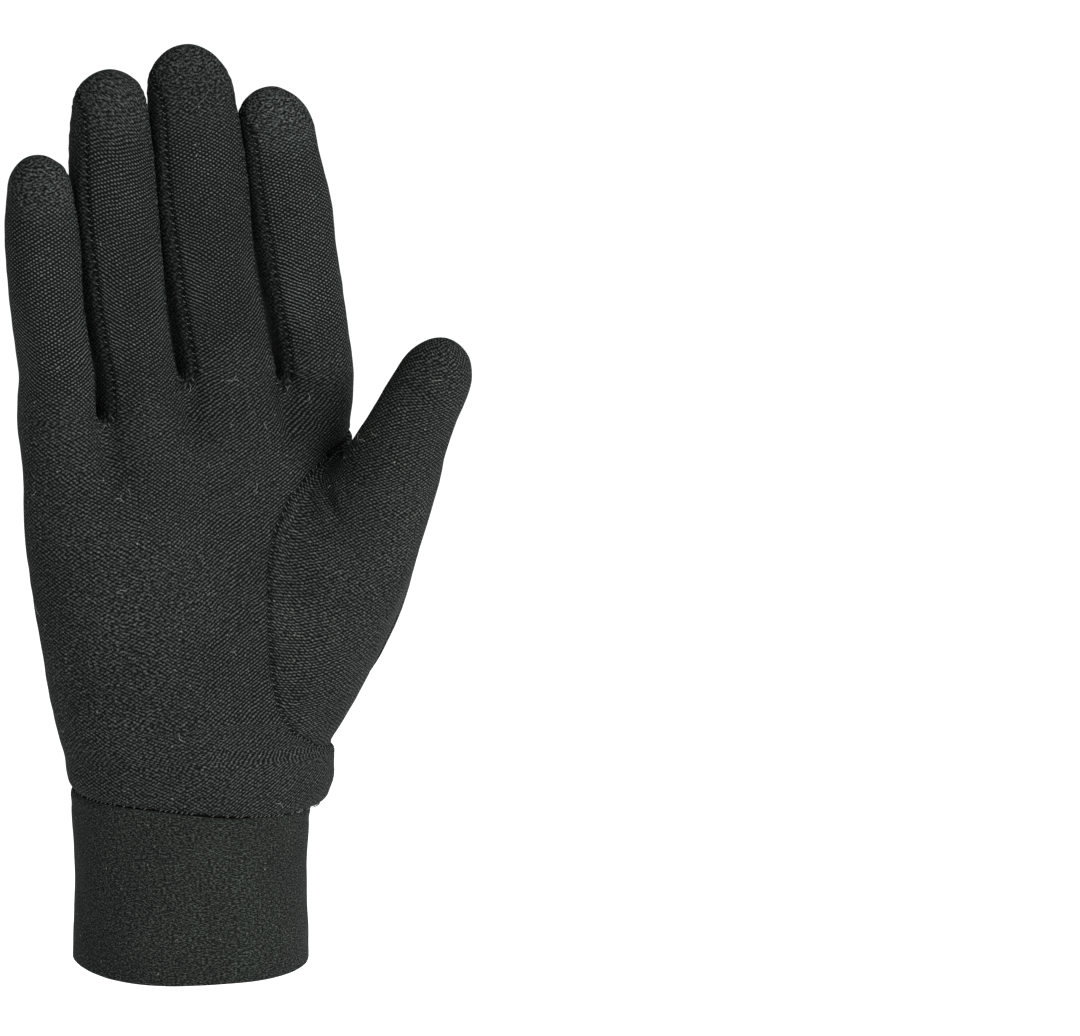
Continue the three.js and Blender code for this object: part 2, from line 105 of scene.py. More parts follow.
# left, right: reach to each side, 0 as wide as half the cuff, 1 as half the palm
# front, back: depth to each side, 0 as deep as half the cuff, 1 as half the knuckles
handSections = table(
    "up left right front back",
    (0.0, 0.0, 0.24, 0.04, 0.04),
    (0.03, 0.11, 0.46, -0.02, 0.02),
    (0.09, 0.17, 0.57, 0.0, 0.12),
    (0.17, 0.32, 0.58, 0.02, 0.26),
    (0.35, 0.57, 0.63, 0.08, 0.48),
    (0.54, 0.79, 0.68, 0.3, 0.68),
    (0.73, 0.96, 0.79, 0.7, 0.86),
    (0.9, 0.97, 0.96, 1.0, 0.98),
    (1.0, 1.0, 1.0, 1.1, 1.0),
)

# soft bulges and hollows of the palm, side 1, and the back, side -1, as shares of the knuckle depth
handForms = table(
    "side across up wide high rise",
    (1, 0.0, 0.6, 0.34, 0.2, -0.09),
    (1, -0.55, 0.38, 0.34, 0.24, 0.05),
    (1, -0.2, 0.86, 0.6, 0.09, 0.03),
    (-1, 0.1, 0.84, 0.6, 0.12, 0.035),
)

# seam round the thumb's hole: where it lies across the palm and the back, and how far round the thumb
thumbSeam = table(
    "up palm back turn",
    (0.12, 1.0, 1.0, 0),
    (0.135, 0.78, 0.975, 1),
    (0.165, 0.56, 0.955, 2),
    (0.21, 0.39, 0.945, 3),
    (0.28, 0.31, 0.94, 4),
    (0.38, 0.29, 0.935, 5),
    (0.5, 0.31, 0.93, 6),
    (0.61, 0.36, 0.93, 7),
    (0.69, 0.45, 0.935, 8),
    (0.75, 0.58, 0.945, 9),
    (0.81, 0.77, 0.965, 10),
    (0.87, 1.0, 1.0, 11),
)

# width as a share of the finger's, depths as shares of the fingers' depth
fingerSections = table(
    "up width front back",
    (0.0, 1.0, 0.54, 0.54),
    (0.2, 1.0, 0.47, 0.47),
    (0.5, 1.0, 0.43, 0.43),
    (0.75, 1.02, 0.42, 0.39),
    (1.0, 0.89, 0.39, 0.35),
)

# little, ring, middle and index finger; the last column is painted shade that darkens the finger's knit,
# painted light where it is below zero
fingers = table(
    "length width full lean early curl bow depth shade",
    (53.5, 17.8, 0.98, -0.085, 0.85, 0.02, 0.03, 0.04, -0.2),
    (73.8, 19.5, 1.07, -0.1, 0.85, 0.03, 0.03, 0.01, -0.06),
    (79.3, 24.9, 0.97, -0.135, 1.0, 0.04, 0.03, 0.0, 0.0),
    (68.8, 20.3, 1.05, -0.187, 1.3, 0.05, 0.03, 0.0, -0.3),
)

# soft folds of the worn cloth, each through three points on it
creases = table(
    "deep wide points",
    (1.1, 1.4, [(27.4, -18.8, 122.9), (27.2, -22.9, 120.1), (28.1, -26.4, 114.5)]),
    (0.35, 1.1, [(-42.4, -4.5, 119.7), (-41.5, -5.9, 113.3), (-40.0, -7.8, 104.9)]),
    (0.28, 1.5, [(-39.3, -6.1, 91.5), (-35.6, -10.6, 82.0), (-31.8, -13.7, 72.5)]),
    (0.28, 1.4, [(-35.9, -7.7, 74.9), (-30.5, -13.5, 65.4), (-23.9, -18.6, 60.4)]),
)

thumb = {
    "length": 79.7,
    "width": 20.8,
    "dome": 0.62,
    "turn": math.radians(38),
    "power": 2 / 2.1,
    "pull": 0.34,
    "rise": 0.4,
    "swell": 0.76,
    "step": 0.03,
    "gather": 1.35,      # how far the gusset's rings are drawn to the seam
}
thumbSections = table(
    "along x y z half deep",
    (0.0, 0.055, -0.31, 0.4, 0.6, 0.56),
    (0.5, 0.084, -0.385, 0.553, 0.495, 0.49),
    (1.0, 0.115, -0.45, 0.68, 0.447, 0.43),
)

# how finely each surface is laid out
fine = {
    "tongue": 26,
    "web": 10,
    "strip": 10,
    "gather": 0.6,       # how far columns are drawn together at the seams
    "shaft": 46,
    "domeLow": 8,
    "domeHigh": 12,
    "gusset": 30,
    "thumbShaft": 20,
    "thumbDome": 14,
}

# how the knit is laid flat
flatten = {
    "step": 4,           # every fourth row and column is moved
    "rounds": 2500,
    "push": 0.12,
    "smoothRounds": 8,
    "leastWidth": 0.3,
    "mostStretch": 1.2,
    "seamRings": 8,
    "aheadRounds": 30,
    "tip": 1.5,          # knit between the last row of a finger and its tip
}

cuffTop = cuff["height"] + cuff["seamGap"]
rootLevel = cuffTop + hand["palmLength"]
palmWidth = sum(f["width"] for f in fingers) + 3 * hand["fingerSpace"]
palmShift = hand["shift"] * palmWidth


# The skin as functions of two parameters

# A column of a table at any place: a cubic between the rows, its slopes from the rows on either side
def tableAt(rows, key, column, at):
    places = np.array([row[key] for row in rows], float)
    values = np.array([row[column] for row in rows], float)
    order = np.arange(len(rows))
    before, after = np.maximum(order - 1, 0), np.minimum(order + 1, len(rows) - 1)
    slopes = (values[after] - values[before]) / (places[after] - places[before])
    i = np.searchsorted(places[1:-1], at, side="left")
    span = places[i + 1] - places[i]
    t = np.clip((at - places[i]) / span, 0, 1)
    start = values[i] + slopes[i] * span * t
    end = values[i + 1] - slopes[i + 1] * span * (1 - t)
    return start + (end - start) * t * t * (3 - 2 * t)


def power(value, exponent):
    return np.sign(value) * np.abs(value) ** exponent


def smoothstep(value, low, high):
    t = np.clip((value - low) / (high - low), 0, 1)
    return t * t * (3 - 2 * t)


def unit(vectors):
    return vectors / np.maximum(np.linalg.norm(vectors, axis=-1, keepdims=True), 1e-12)


reach = -palmWidth / 2 + palmShift
for finger in fingers:
    finger["x"] = reach + finger["width"] / 2
    finger["y"] = finger["depth"] * hand["knuckleDepth"]
    reach += finger["width"] + hand["fingerSpace"]

stations = np.array(
    [fingers[0]["x"] - fingers[0]["width"] / 2]
    + [f["x"] - (f["width"] + hand["fingerSpace"]) / 2 for f in fingers[1:]]
    + [fingers[3]["x"] + fingers[3]["width"] / 2]
)


# Height where the palm ends over a point across it: eased from one crotch to the next
def rootHeight(x):
    drops = np.array(hand["rootDrops"])
    i = np.searchsorted(stations[1:-1], x, side="left")
    t = np.clip((x - stations[i]) / (stations[i + 1] - stations[i]), 0, 1)
    drop = drops[i] + (drops[i + 1] - drops[i]) * t * t * (3 - 2 * t)
    return cuffTop + hand["palmLength"] * (1 - drop)


# A finger's skin: a squared ellipse carried up a leaning, bowed line and closed by a dome.
# angle runs round from the middle of the front, at is 0 at the root, 1 at the dome and 2 at the tip.
def fingerPoints(finger, angle, at):
    shaft = np.minimum(at, 1)
    lift = np.maximum(at - 1, 0) * rightAngle
    width = finger["width"] * (1 + (finger["full"] - 1) * smoothstep(shaft, 0, hand["fullBy"]))
    half = tableAt(fingerSections, "up", "width", shaft) * width / 2
    front = tableAt(fingerSections, "up", "front", shaft)
    back = tableAt(fingerSections, "up", "back", shaft)
    deep = np.where(np.cos(angle) > 0, front, back) * hand["fingerDepth"]
    shrink = np.maximum(np.cos(lift), 0) ** hand["domePower"]
    across = half * shrink * power(np.sin(angle), hand["fingerPower"])
    depth = -deep * shrink * power(np.cos(angle), hand["fingerPower"])
    root = rootHeight(finger["x"] + half * np.sin(angle))
    dome = hand["dome"] * finger["width"]
    z = root + (rootLevel + finger["length"] - dome - root) * shaft + dome * np.sin(lift)
    run = np.clip((z - rootLevel) / finger["length"], 0, 1)
    x = finger["x"] + finger["lean"] * finger["length"] * run ** finger["early"] + across
    bow = finger["bow"] * 4 * run * (1 - run) - finger["curl"] * run * run
    return np.stack([x, finger["y"] + bow * finger["length"] + depth, z + 0 * x], axis=-1)


# The fold between two fingers: from one side to the next, dipping in half a round
def crotchPoints(index, angle, along):
    start = fingerPoints(fingers[index], angle, np.zeros_like(angle))
    end = fingerPoints(fingers[index + 1], -angle, np.zeros_like(angle))
    points = start + (end - start) * along[..., None]
    dip = hand["crotchDip"] * (end[..., 0] - start[..., 0])
    points[..., 2] -= dip * np.sin(math.pi * along)
    return points


# Even shares from 0 to 1, drawn together at both ends
def gatheredShares(count):
    t = np.linspace(0, 1, count + 1)
    return t - fine["gather"] * np.sin(2 * math.pi * t) / (2 * math.pi)


# Columns across the hand at the finger roots: the front or back of each finger, then the space to the next
def rootPoints(side):
    turned = lambda angle: angle if side > 0 else math.pi - angle
    seam = hand["seamAngle"]
    parts = []
    for index, finger in enumerate(fingers):
        low = -rightAngle if index == 0 else -seam
        high = rightAngle if index == 3 else seam
        angle = turned(low + (high - low) * gatheredShares(fine["tongue"]))
        parts.append(fingerPoints(finger, angle, 0 * angle))
        if index < 3:
            along = np.linspace(0, 1, fine["web"] + 1)[1:-1]
            parts.append(crotchPoints(index, turned(seam) + 0 * along, along))
    return np.concatenate(parts)


firstColumns = [index * (fine["tongue"] + fine["web"]) for index in range(4)]


# The hand: a squared oval for each height, eased into the finger roots near the top
def handPoints(side, roots, across, at, inset=0.0):
    part = lambda name: tableAt(handSections, "up", name, at)
    halfPalm = palmWidth / 2
    left = -(cuff["width"] / 2 + (halfPalm - palmShift - cuff["width"] / 2) * part("left")) + inset
    right = cuff["width"] / 2 + (halfPalm + palmShift - cuff["width"] / 2) * part("right") - inset
    name = "front" if side > 0 else "back"
    depth = cuff["depth"] / 2 + (hand["knuckleDepth"] - cuff["depth"]) / 2 * part(name) - inset
    squarer = hand["squareness"] - cuff["squareness"]
    square = cuff["squareness"] + squarer * np.clip(at / hand["squareBy"], 0, 1)
    crown = np.sqrt(np.maximum(1 - np.abs(across) ** square, 0))
    for form in (f for f in handForms if f["side"] == side):
        away = ((across - form["across"]) / form["wide"]) ** 2 + ((at - form["up"]) / form["high"]) ** 2
        depth = depth + form["rise"] * hand["knuckleDepth"] * np.exp(-away)
    x = left + (right - left) * (across + 1) / 2
    y = -side * depth * crown
    outer = across * halfPalm + palmShift
    level = rootHeight(outer)
    z = cuffTop + (level - cuffTop) * at - cuff["seamFall"] * x * (1 - at) ** 3
    blend = smoothstep(at, hand["rootBlend"], 1)[..., None]
    points = np.stack([x, y, z], axis=-1)
    ends = np.stack([roots[..., 0] + 0 * x, roots[..., 1] + 0 * x, z + roots[..., 2] - level], axis=-1)
    return points + (ends - points) * blend


# Where the columns lie across the hand, drawn aside from the thumb's hole
def acrossAt(side, roots, at):
    across = np.clip((roots[:, 0] - palmShift) / (palmWidth / 2), -1, 1)[None, :] + 0 * at
    inHole = (at > thumbSeam[0]["up"]) & (at < thumbSeam[-1]["up"])
    edge = np.where(inHole, tableAt(thumbSeam, "up", "palm" if side > 0 else "back", at), 1.0)
    still = hand["stillColumn"]
    away = np.clip((1 - across) / (1 - still), 0, 1)
    spread = hand["edgeSpread"] + (1 - hand["edgeSpread"]) * edge
    drawn = edge + (still - edge) * away ** spread
    return np.where(inHole & (across > still), drawn, across)


# Heights up the hand with the number of even rows up to the next one
handStops = [(0, 8), (0.03, 9), (0.12, 16), (0.21, 38), (0.69, 22), (0.87, 20), (1.0, 0)]
handRows = np.concatenate(
    [np.linspace(low, high, rows, endpoint=False) for (low, rows), (high, _) in zip(handStops, handStops[1:])]
    + [[1.0]]
)
holeRows = np.flatnonzero((handRows > thumbSeam[0]["up"] - 1e-9) & (handRows < thumbSeam[-1]["up"] + 1e-9))
stripEnd = 1.4  # a side strip ends on the dome, which runs from 1 to 2
fingerRows = np.concatenate([
    np.linspace(0, 1, fine["shaft"] + 1)[1:],
    np.linspace(1, stripEnd, fine["domeLow"])[1:],
    np.linspace(stripEnd, 2, fine["domeHigh"])[1:-1],
])


# Angle of the seam beside a side strip, which closes over the strip's end on the dome
def seamAngleAt(at):
    return hand["seamAngle"] + (rightAngle - hand["seamAngle"]) * smoothstep(at, hand["seamCloses"], stripEnd)


# One skin of shared points, so that pieces meet along their seams

skin = {"points": [], "count": 0}
patches = []


def addPoints(points):
    flat = points.reshape(-1, 3)
    ids = np.arange(len(flat)) + skin["count"]
    skin["points"].append(flat)
    skin["count"] += len(flat)
    return ids.reshape(points.shape[:-1])


# uv: millimetres across and along the knit at each grid point
def addPatch(piece, ids, uv, flip):
    patches.append({"piece": piece, "ids": ids, "uv": uv, "flip": flip})


# Length along each row of a grid, from the given column
def rowLengths(points, centre):
    steps = np.linalg.norm(np.diff(points, axis=1), axis=2)
    run = np.concatenate([np.zeros((len(points), 1)), np.cumsum(steps, axis=1)], axis=1)
    return run - run[:, centre:centre + 1]


# Lays an open sheet of points out flat: starts from a rough layout and moves both ends of every edge and
# diagonal of its cells until their lengths are those on the skin
def layFlat(points, rough, rounds):
    flat = rough.copy()
    pairs = [
        (np.s_[:, :-1], np.s_[:, 1:]), (np.s_[:-1, :], np.s_[1:, :]),
        (np.s_[:-1, :-1], np.s_[1:, 1:]), (np.s_[1:, :-1], np.s_[:-1, 1:]),
    ]
    lengths = [np.linalg.norm(points[end] - points[start], axis=-1) for start, end in pairs]
    for _ in range(rounds):
        moves = np.zeros_like(flat)
        for (start, end), length in zip(pairs, lengths):
            away = flat[end] - flat[start]
            now = np.maximum(np.linalg.norm(away, axis=-1), 1e-6)
            push = away * ((now - length) / now * flatten["push"])[..., None]
            moves[start] += push
            moves[end] -= push
        flat = flat + moves
    return flat


# The same for a fine sheet: only every few rows and columns are laid flat. Their moves from the rough layout
# are smoothed and spread by length over the columns between, and the rows between are spaced evenly.
def layFine(points, rough):
    rows = np.unique(np.append(np.arange(0, len(points), flatten["step"]), len(points) - 1))
    columns = np.unique(np.append(np.arange(0, points.shape[1], flatten["step"]), points.shape[1] - 1))
    start = rough[rows][:, columns]
    moves = layFlat(points[rows][:, columns], start, flatten["rounds"]) - start
    for _ in range(flatten["smoothRounds"]):
        moves[1:-1] = moves[1:-1] * 0.5 + (moves[:-2] + moves[2:]) * 0.25
        moves[:, 1:-1] = moves[:, 1:-1] * 0.5 + (moves[:, :-2] + moves[:, 2:]) * 0.25
    run = rowLengths(points[rows], 0)
    flat = np.zeros(rough.shape)
    for axis in (0, 1):
        wide = np.stack([np.interp(line, line[columns], move) for line, move in zip(run, moves[..., axis])])
        wide += rough[rows][..., axis]
        tall = [np.interp(np.arange(len(points)), rows, column) for column in wide.T]
        flat[..., axis] = np.stack(tall, axis=1)
    return flat


# The space between two columns of a flat sheet is held near what its rise leaves of its real length
def holdColumns(flat, points):
    rise = np.diff(flat[..., 1], axis=1)
    real = np.linalg.norm(np.diff(points, axis=1), axis=2)
    width = np.sqrt(np.maximum(real ** 2 - rise ** 2, (real * flatten["leastWidth"]) ** 2))
    most = flatten["mostStretch"]
    steps = np.clip(-np.diff(flat[..., 0], axis=1), width / most, width * most)
    run = np.concatenate([np.zeros((len(flat), 1)), np.cumsum(steps, axis=1)], axis=1)
    return np.stack([flat[:, :1, 0] - run, flat[..., 1]], axis=-1)


centreColumn = firstColumns[2] - 3  # in the space between ring and middle finger
handGrids = {}
for side in (1, -1):
    roots = rootPoints(side)
    at = handRows[:, None]
    across = acrossAt(side, roots, at)
    points = handPoints(side, roots, across, at)
    ids = addPoints(points)
    handGrids[side] = {"points": points, "ids": ids}

frontGrid, backGrid = handGrids[1], handGrids[-1]
backGrid["ids"][:, 0] = frontGrid["ids"][:, 0]
closed = np.ones(len(handRows), bool)
closed[holeRows[1:-1]] = False
backGrid["ids"][closed, -1] = frontGrid["ids"][closed, -1]

for side, grid in handGrids.items():
    lengths = rowLengths(grid["points"], centreColumn)
    if side < 0:  # counted on from the front's edge, so that the knit runs round the little finger's side
        frontEdge = rowLengths(frontGrid["points"], centreColumn)[:, 0]
        lengths = frontEdge[:, None] - rowLengths(grid["points"], 0)
    grid["uv"] = np.stack([lengths, grid["points"][..., 2]], axis=-1)

# palm and back are laid flat as one sheet that runs round the little finger's side
sheet = np.concatenate([frontGrid["points"][:, ::-1], backGrid["points"][:, 1:]], axis=1)
flatHand = layFine(sheet, np.concatenate([frontGrid["uv"][:, ::-1], backGrid["uv"][:, 1:]], axis=1))
width = frontGrid["points"].shape[1]
frontGrid["uv"] = flatHand[:, :width][:, ::-1]
backGrid["uv"] = holdColumns(flatHand[:, width - 1:], backGrid["points"])
for side, grid in handGrids.items():
    addPatch("palmPanel" if side > 0 else "backPanel", grid["ids"], grid["uv"], side < 0)

tongues = {}
for index, finger in enumerate(fingers):
    tip = addPoints(fingerPoints(finger, np.zeros(1), np.full(1, 2.0)))[0]
    first = firstColumns[index]
    for side in (1, -1):
        seamTurn = seamAngleAt(fingerRows)[:, None]
        low = np.full_like(seamTurn, -rightAngle) if index == 0 else -seamTurn
        high = np.full_like(seamTurn, rightAngle) if index == 3 else seamTurn
        angle = low + (high - low) * gatheredShares(fine["tongue"])[None, :]
        if side < 0:
            angle = math.pi - angle
        points = fingerPoints(finger, angle, fingerRows[:, None] + 0 * angle)
        ids = addPoints(points)
        grid = handGrids[side]
        rootIds = grid["ids"][-1, first:first + fine["tongue"] + 1]
        rootUv = grid["uv"][-1, first:first + fine["tongue"] + 1]
        if side < 0:
            meets = fingerRows > stripEnd - 1e-9
            front = tongues[index, 1]["ids"][1:-1]
            ids[meets, 0], ids[meets, -1] = front[meets, 0], front[meets, -1]
            if index == 0:
                ids[:, 0] = front[:, 0]
            if index == 3:
                ids[:, -1] = front[:, -1]
        middle = fine["tongue"] // 2
        rootPointsHere = grid["points"][-1, first:first + fine["tongue"] + 1]
        whole = np.concatenate([rootPointsHere[None], points], axis=0)
        spine = np.linalg.norm(np.diff(whole[:, middle], axis=0), axis=1)
        along = np.concatenate([[0], np.cumsum(spine)])[1:, None]
        lengths = side * rowLengths(points, middle) + rootUv[middle, 0]
        uv = np.stack([lengths, rootUv[:, 1][None, :] + along + 0 * lengths], axis=-1)
        tipUv = np.stack([np.full(len(rootUv), rootUv[middle, 0]), uv[-1, :, 1] + flatten["tip"]], axis=-1)
        ids = np.concatenate([rootIds[None], ids, np.full((1, len(rootIds)), tip)], axis=0)
        uv = np.concatenate([rootUv[None], uv, tipUv[None]], axis=0)
        tongues[index, side] = {"ids": ids, "uv": uv}
        addPatch("palmPanel" if side > 0 else "backPanel", ids, uv, side < 0)

stripRows = fingerRows[fingerRows < stripEnd - 1e-9]
strips = {}
for index in range(3):
    share = gatheredShares(fine["strip"])[None, 1:-1]
    legs = []
    for turn, which in ((1, index), (-1, index + 1)):
        rows = np.concatenate([[0], stripRows])[:, None]
        low = seamAngleAt(rows)
        angle = low + (math.pi - 2 * low) * share
        inner = addPoints(fingerPoints(fingers[which], turn * angle, rows + 0 * angle))
        column = -1 if turn > 0 else 0
        count = len(stripRows) + 1
        front = tongues[which, 1]["ids"][:count, column]
        back = tongues[which, -1]["ids"][:count, column]
        leg = np.concatenate([front[:, None], inner, back[:, None]], axis=1)
        last = np.full((1, fine["strip"] + 1), tongues[which, 1]["ids"][count, column])
        legs.append(np.concatenate([leg, last], axis=0))
    webIds = firstColumns[index] + fine["tongue"] + np.arange(1, fine["web"])
    angle = hand["seamAngle"] + (math.pi - 2 * hand["seamAngle"]) * share
    along = np.linspace(0, 1, fine["web"] + 1)[1:-1, None]
    inner = addPoints(crotchPoints(index, angle + 0 * along, along + 0 * angle))
    ends = [frontGrid["ids"][-1, webIds, None], backGrid["ids"][-1, webIds, None]]
    bend = np.concatenate([ends[0], inner, ends[1]], axis=1)
    strips[index] = np.concatenate([legs[0][::-1], bend, legs[1]], axis=0)

print("hand laid out")


# Thumb

# The thumb's middle line, as shares of its length from the middle of its hole
def thumbLine(at):
    middleUp = np.array([(thumbSeam[0]["up"] + thumbSeam[-1]["up"]) / 2])
    middle = handPoints(1, rootPoints(1)[-1], np.ones(1), middleUp)
    shares = np.stack([tableAt(thumbSections, "along", name, at) for name in "xyz"], axis=-1)
    return middle[0] + shares * thumb["length"]


# The thumb's skin: a squared ellipse carried along its line, closed by a dome
def thumbPoints(angle, at, lift):
    low = np.minimum(at, 1 - thumb["step"])
    axis = unit(thumbLine(low + thumb["step"]) - thumbLine(low))
    inner = np.array([-math.cos(thumb["turn"]), math.sin(thumb["turn"]), 0])
    inner = unit(inner - axis * (axis @ inner)[..., None])
    front = np.cross(axis, inner)
    wide = thumb["width"] * np.maximum(np.cos(lift), 0) ** hand["domePower"]
    half = tableAt(thumbSections, "along", "half", at) * wide
    deep = tableAt(thumbSections, "along", "deep", at) * wide
    return (
        thumbLine(at)
        - inner * (half * power(np.cos(angle), thumb["power"]))[..., None]
        - front * (deep * power(np.sin(angle), thumb["power"]))[..., None]
        + axis * (thumb["dome"] * thumb["width"] * np.sin(lift))[..., None]
    )


# Seam points up the back of the hand and down its front, on the skin or under it
def holePoints(inset):
    at = handRows[holeRows]
    rows = {}
    for side, name in ((-1, "back"), (1, "palm")):
        across = tableAt(thumbSeam, "up", name, at)
        rows[side] = handPoints(side, rootPoints(side)[-1], across, at, inset)
    return np.concatenate([rows[-1], rows[1][1:-1][::-1]], axis=0)


holeIds = np.concatenate([backGrid["ids"][holeRows, -1], frontGrid["ids"][holeRows[1:-1], -1][::-1]])
holeTurn = tableAt(thumbSeam, "up", "turn", handRows[holeRows])
wholeTurn = 2 * thumbSeam[-1]["turn"]
turns = np.concatenate([holeTurn, wholeTurn - holeTurn[1:-1][::-1]]) * 2 * math.pi / wholeTurn


# The gusset: a cubic from each seam point to the round thumb. It leaves the seam along the skin, leaning
# outwards and up the thumb, and arrives along the thumb.
def gussetRings(rings):
    seam, under = holePoints(0.0), holePoints(hand["wall"])
    arrival = thumbPoints(turns, np.zeros_like(turns), np.zeros_like(turns))
    ahead = thumbPoints(turns, np.full_like(turns, thumb["step"]), np.zeros_like(turns))
    outward = unit(seam - under)
    run = unit(np.roll(seam, -1, axis=0) - np.roll(seam, 1, axis=0))
    axis = unit(ahead - arrival)
    start = np.cross(outward, run) + axis * thumb["rise"]
    start += outward * (thumb["swell"] - np.sum(start * outward, axis=1, keepdims=True))
    pull = thumb["pull"] * np.linalg.norm(arrival - seam, axis=1, keepdims=True)
    second, third = seam + unit(start) * pull, arrival - axis * pull
    t = rings[:, None, None]
    return (
        seam * (1 - t) ** 3 + second * 3 * t * (1 - t) ** 2 + third * 3 * t * t * (1 - t) + arrival * t ** 3
    )


evening = {"rounds": 40, "out": 0.5, "back": -0.52, "free": 0.2, "narrow": 12}


# Evens out rings of points, so that no columns fold over each other: each point between the first and last
# ring moves half way to the middle of its four neighbours and then back, over and over. Near the hole's
# bottom it moves less far back.
def evened(rings):
    rings = rings.copy()
    back = evening["back"] + evening["free"] * ((1 + np.cos(turns)) / 2)[:, None] ** evening["narrow"]
    for step in (evening["out"], back) * evening["rounds"]:
        inner = rings[1:-1]
        around = rings[:-2] + rings[2:] + np.roll(inner, 1, axis=1) + np.roll(inner, -1, axis=1)
        rings[1:-1] = inner + (around / 4 - inner) * step
    return rings


shaftAt = np.linspace(0, 1, fine["thumbShaft"] + 1)[1:, None] + 0 * turns
shaft = thumbPoints(turns + 0 * shaftAt, shaftAt, 0 * shaftAt)
domeAt = np.linspace(0, rightAngle, fine["thumbDome"] + 1)[1:-1, None] + 0 * turns
dome = thumbPoints(turns + 0 * domeAt, np.ones_like(domeAt), domeAt)
gusset = gussetRings(np.linspace(0, 1, fine["gusset"] + 1)[1:] ** thumb["gather"])
gusset = evened(np.concatenate([holePoints(0.0)[None], gusset, shaft[:1]]))[1:-1]
tipPoint = thumbPoints(np.zeros(1), np.ones(1), np.full(1, rightAngle))
rings = np.concatenate([gusset, shaft, dome], axis=0)
ringIds = addPoints(rings)
tipId = addPoints(tipPoint)[0]
print("thumb laid out")

skinPoints = np.concatenate(skin["points"], axis=0)


# The thumb's knit: its sheet is opened along the inner side, from the crotch to the tip, and laid flat
def thumbKnit(rings):
    opened = skinPoints[np.concatenate([rings, rings[:, :1]], axis=1)]
    base, end = thumbLine(np.zeros(1))[0], thumbLine(np.ones(1))[0]
    axis = unit(end - base)
    along = (opened - base) @ axis
    around = rowLengths(opened - along[..., None] * axis, opened.shape[1] // 2)
    rough = np.stack([around, along], axis=-1)
    flat = layFine(opened, rough)
    # the rings beside the seam follow the ring at some distance from it, straight on
    near = flatten["seamRings"]
    ahead = unit(flat[near + 4] - flat[near])
    for _ in range(flatten["aheadRounds"]):
        ahead[1:-1] = unit(ahead[1:-1] * 2 + ahead[:-2] + ahead[2:])
    steps = np.linalg.norm(np.diff(opened[:near + 1], axis=0), axis=-1)
    away = np.cumsum(steps[::-1], axis=0)[::-1]
    flat[:near] = flat[near] - ahead * away[..., None]
    return np.concatenate([flat, flat[-1:] * 1.5 - flat[-2:-1] * 0.5], axis=0)


cutColumn = int(np.argmin(np.abs(turns - math.pi)))
openRings = np.roll(np.concatenate([holeIds[None], ringIds]), -cutColumn, axis=1)
thumbUv = thumbKnit(openRings)
thumbIds = np.concatenate([openRings, np.full((1, openRings.shape[1]), tipId)], axis=0)
thumbIds = np.concatenate([thumbIds, thumbIds[:, :1]], axis=1)
addPatch("thumb", thumbIds, thumbUv, False)

stripNames = ["stripLittleRing", "stripRingMiddle", "stripMiddleIndex"]
for index, ids in strips.items():
    points = skinPoints[ids]
    middle = fine["strip"] // 2
    lengths = rowLengths(points, middle)
    along = np.concatenate([[0], np.cumsum(np.linalg.norm(np.diff(points[:, middle], axis=0), axis=1))])
    uv = np.stack([lengths, along[:, None] + 0 * lengths], axis=-1)
    addPatch(stripNames[index], ids, uv, True)


# Faces, normals and relief of the whole skin

# Cells of a grid as four corners each, and the same for the knit's places
def patchCells(patch):
    ids, uv = patch["ids"], patch["uv"]
    corners = np.stack([ids[:-1, :-1], ids[:-1, 1:], ids[1:, 1:], ids[1:, :-1]], axis=-1).reshape(-1, 4)
    places = np.stack([uv[:-1, :-1], uv[:-1, 1:], uv[1:, 1:], uv[1:, :-1]], axis=-2).reshape(-1, 4, 2)
    if patch["flip"]:
        corners, places = corners[:, ::-1], places[:, ::-1]
    return corners, places


for patch in patches:
    patch["corners"], patch["places"] = patchCells(patch)
allCorners = np.concatenate([patch["corners"] for patch in patches], axis=0)


# Normals of the whole skin: each point takes the sum of its cells' area normals
def skinNormals(points):
    across = points[allCorners[:, 2]] - points[allCorners[:, 0]]
    along = points[allCorners[:, 3]] - points[allCorners[:, 1]]
    cellNormals = np.cross(across, along)
    total = np.zeros_like(points)
    for corner in range(4):
        np.add.at(total, allCorners[:, corner], cellNormals)
    return unit(total)


relief = {
    "groove": 0.5,       # depth of each seam's groove
    "grooveWidth": 0.5,
    "puff": 0.2,         # rise of the cloth beside a seam
    "puffAt": 1.5,
    "puffWidth": 0.9,
    "pucker": 0.13,      # ripples across a seam
    "puckerPitch": 3.0,
    "puckerReach": 2.4,
    "seamPaintedShade": 0.55,    # painted shade in each seam's groove
    "seamPaintedShadeWidth": 0.7,
    "hem": 0.24,         # how far the hand's lower edge rolls in at the cuff
    "hemWidth": 0.45,
    "hemPuff": 0.08,
    "hemPuffAt": 1.9,
    "lumps": 0.2,        # slow unevenness of the cloth
    "dimples": 0.05,     # small unevenness
    "crotchRays": 0.2,   # creases that spread from a crotch
    "rays": 9,
    "raysAt": 2.4,
    "raysWidth": 1.9,
    "raysTop": 1.5,
    "creaseEnd": 0.3,    # share of a crease over which it fades at each end
    "creaseRidge": 0.35,
    "creaseRidgeAt": 1.9,
    "seamWave": 0.28,    # how far the cuff's seam wanders up and down
    "seamWaveReach": 5,
}

# unevenness of each kind: number of waves, shortest and longest in millimetres, seed
uneven = {
    "ripples": (6, 9, 22, 5),
    "lumps": (14, 14, 46, 11),
    "dimples": (16, 4, 9, 17),
    "cuffSeam": (7, 14, 40, 23),
    "crotch": (4, 6, 12, 31),
    "knitPatches": (8, 16, 60, 47),
    "cuffLumps": (10, 12, 40, 71),
    "cuffDimples": (12, 4, 9, 73),
    "cuffHem": (5, 25, 60, 79),
}


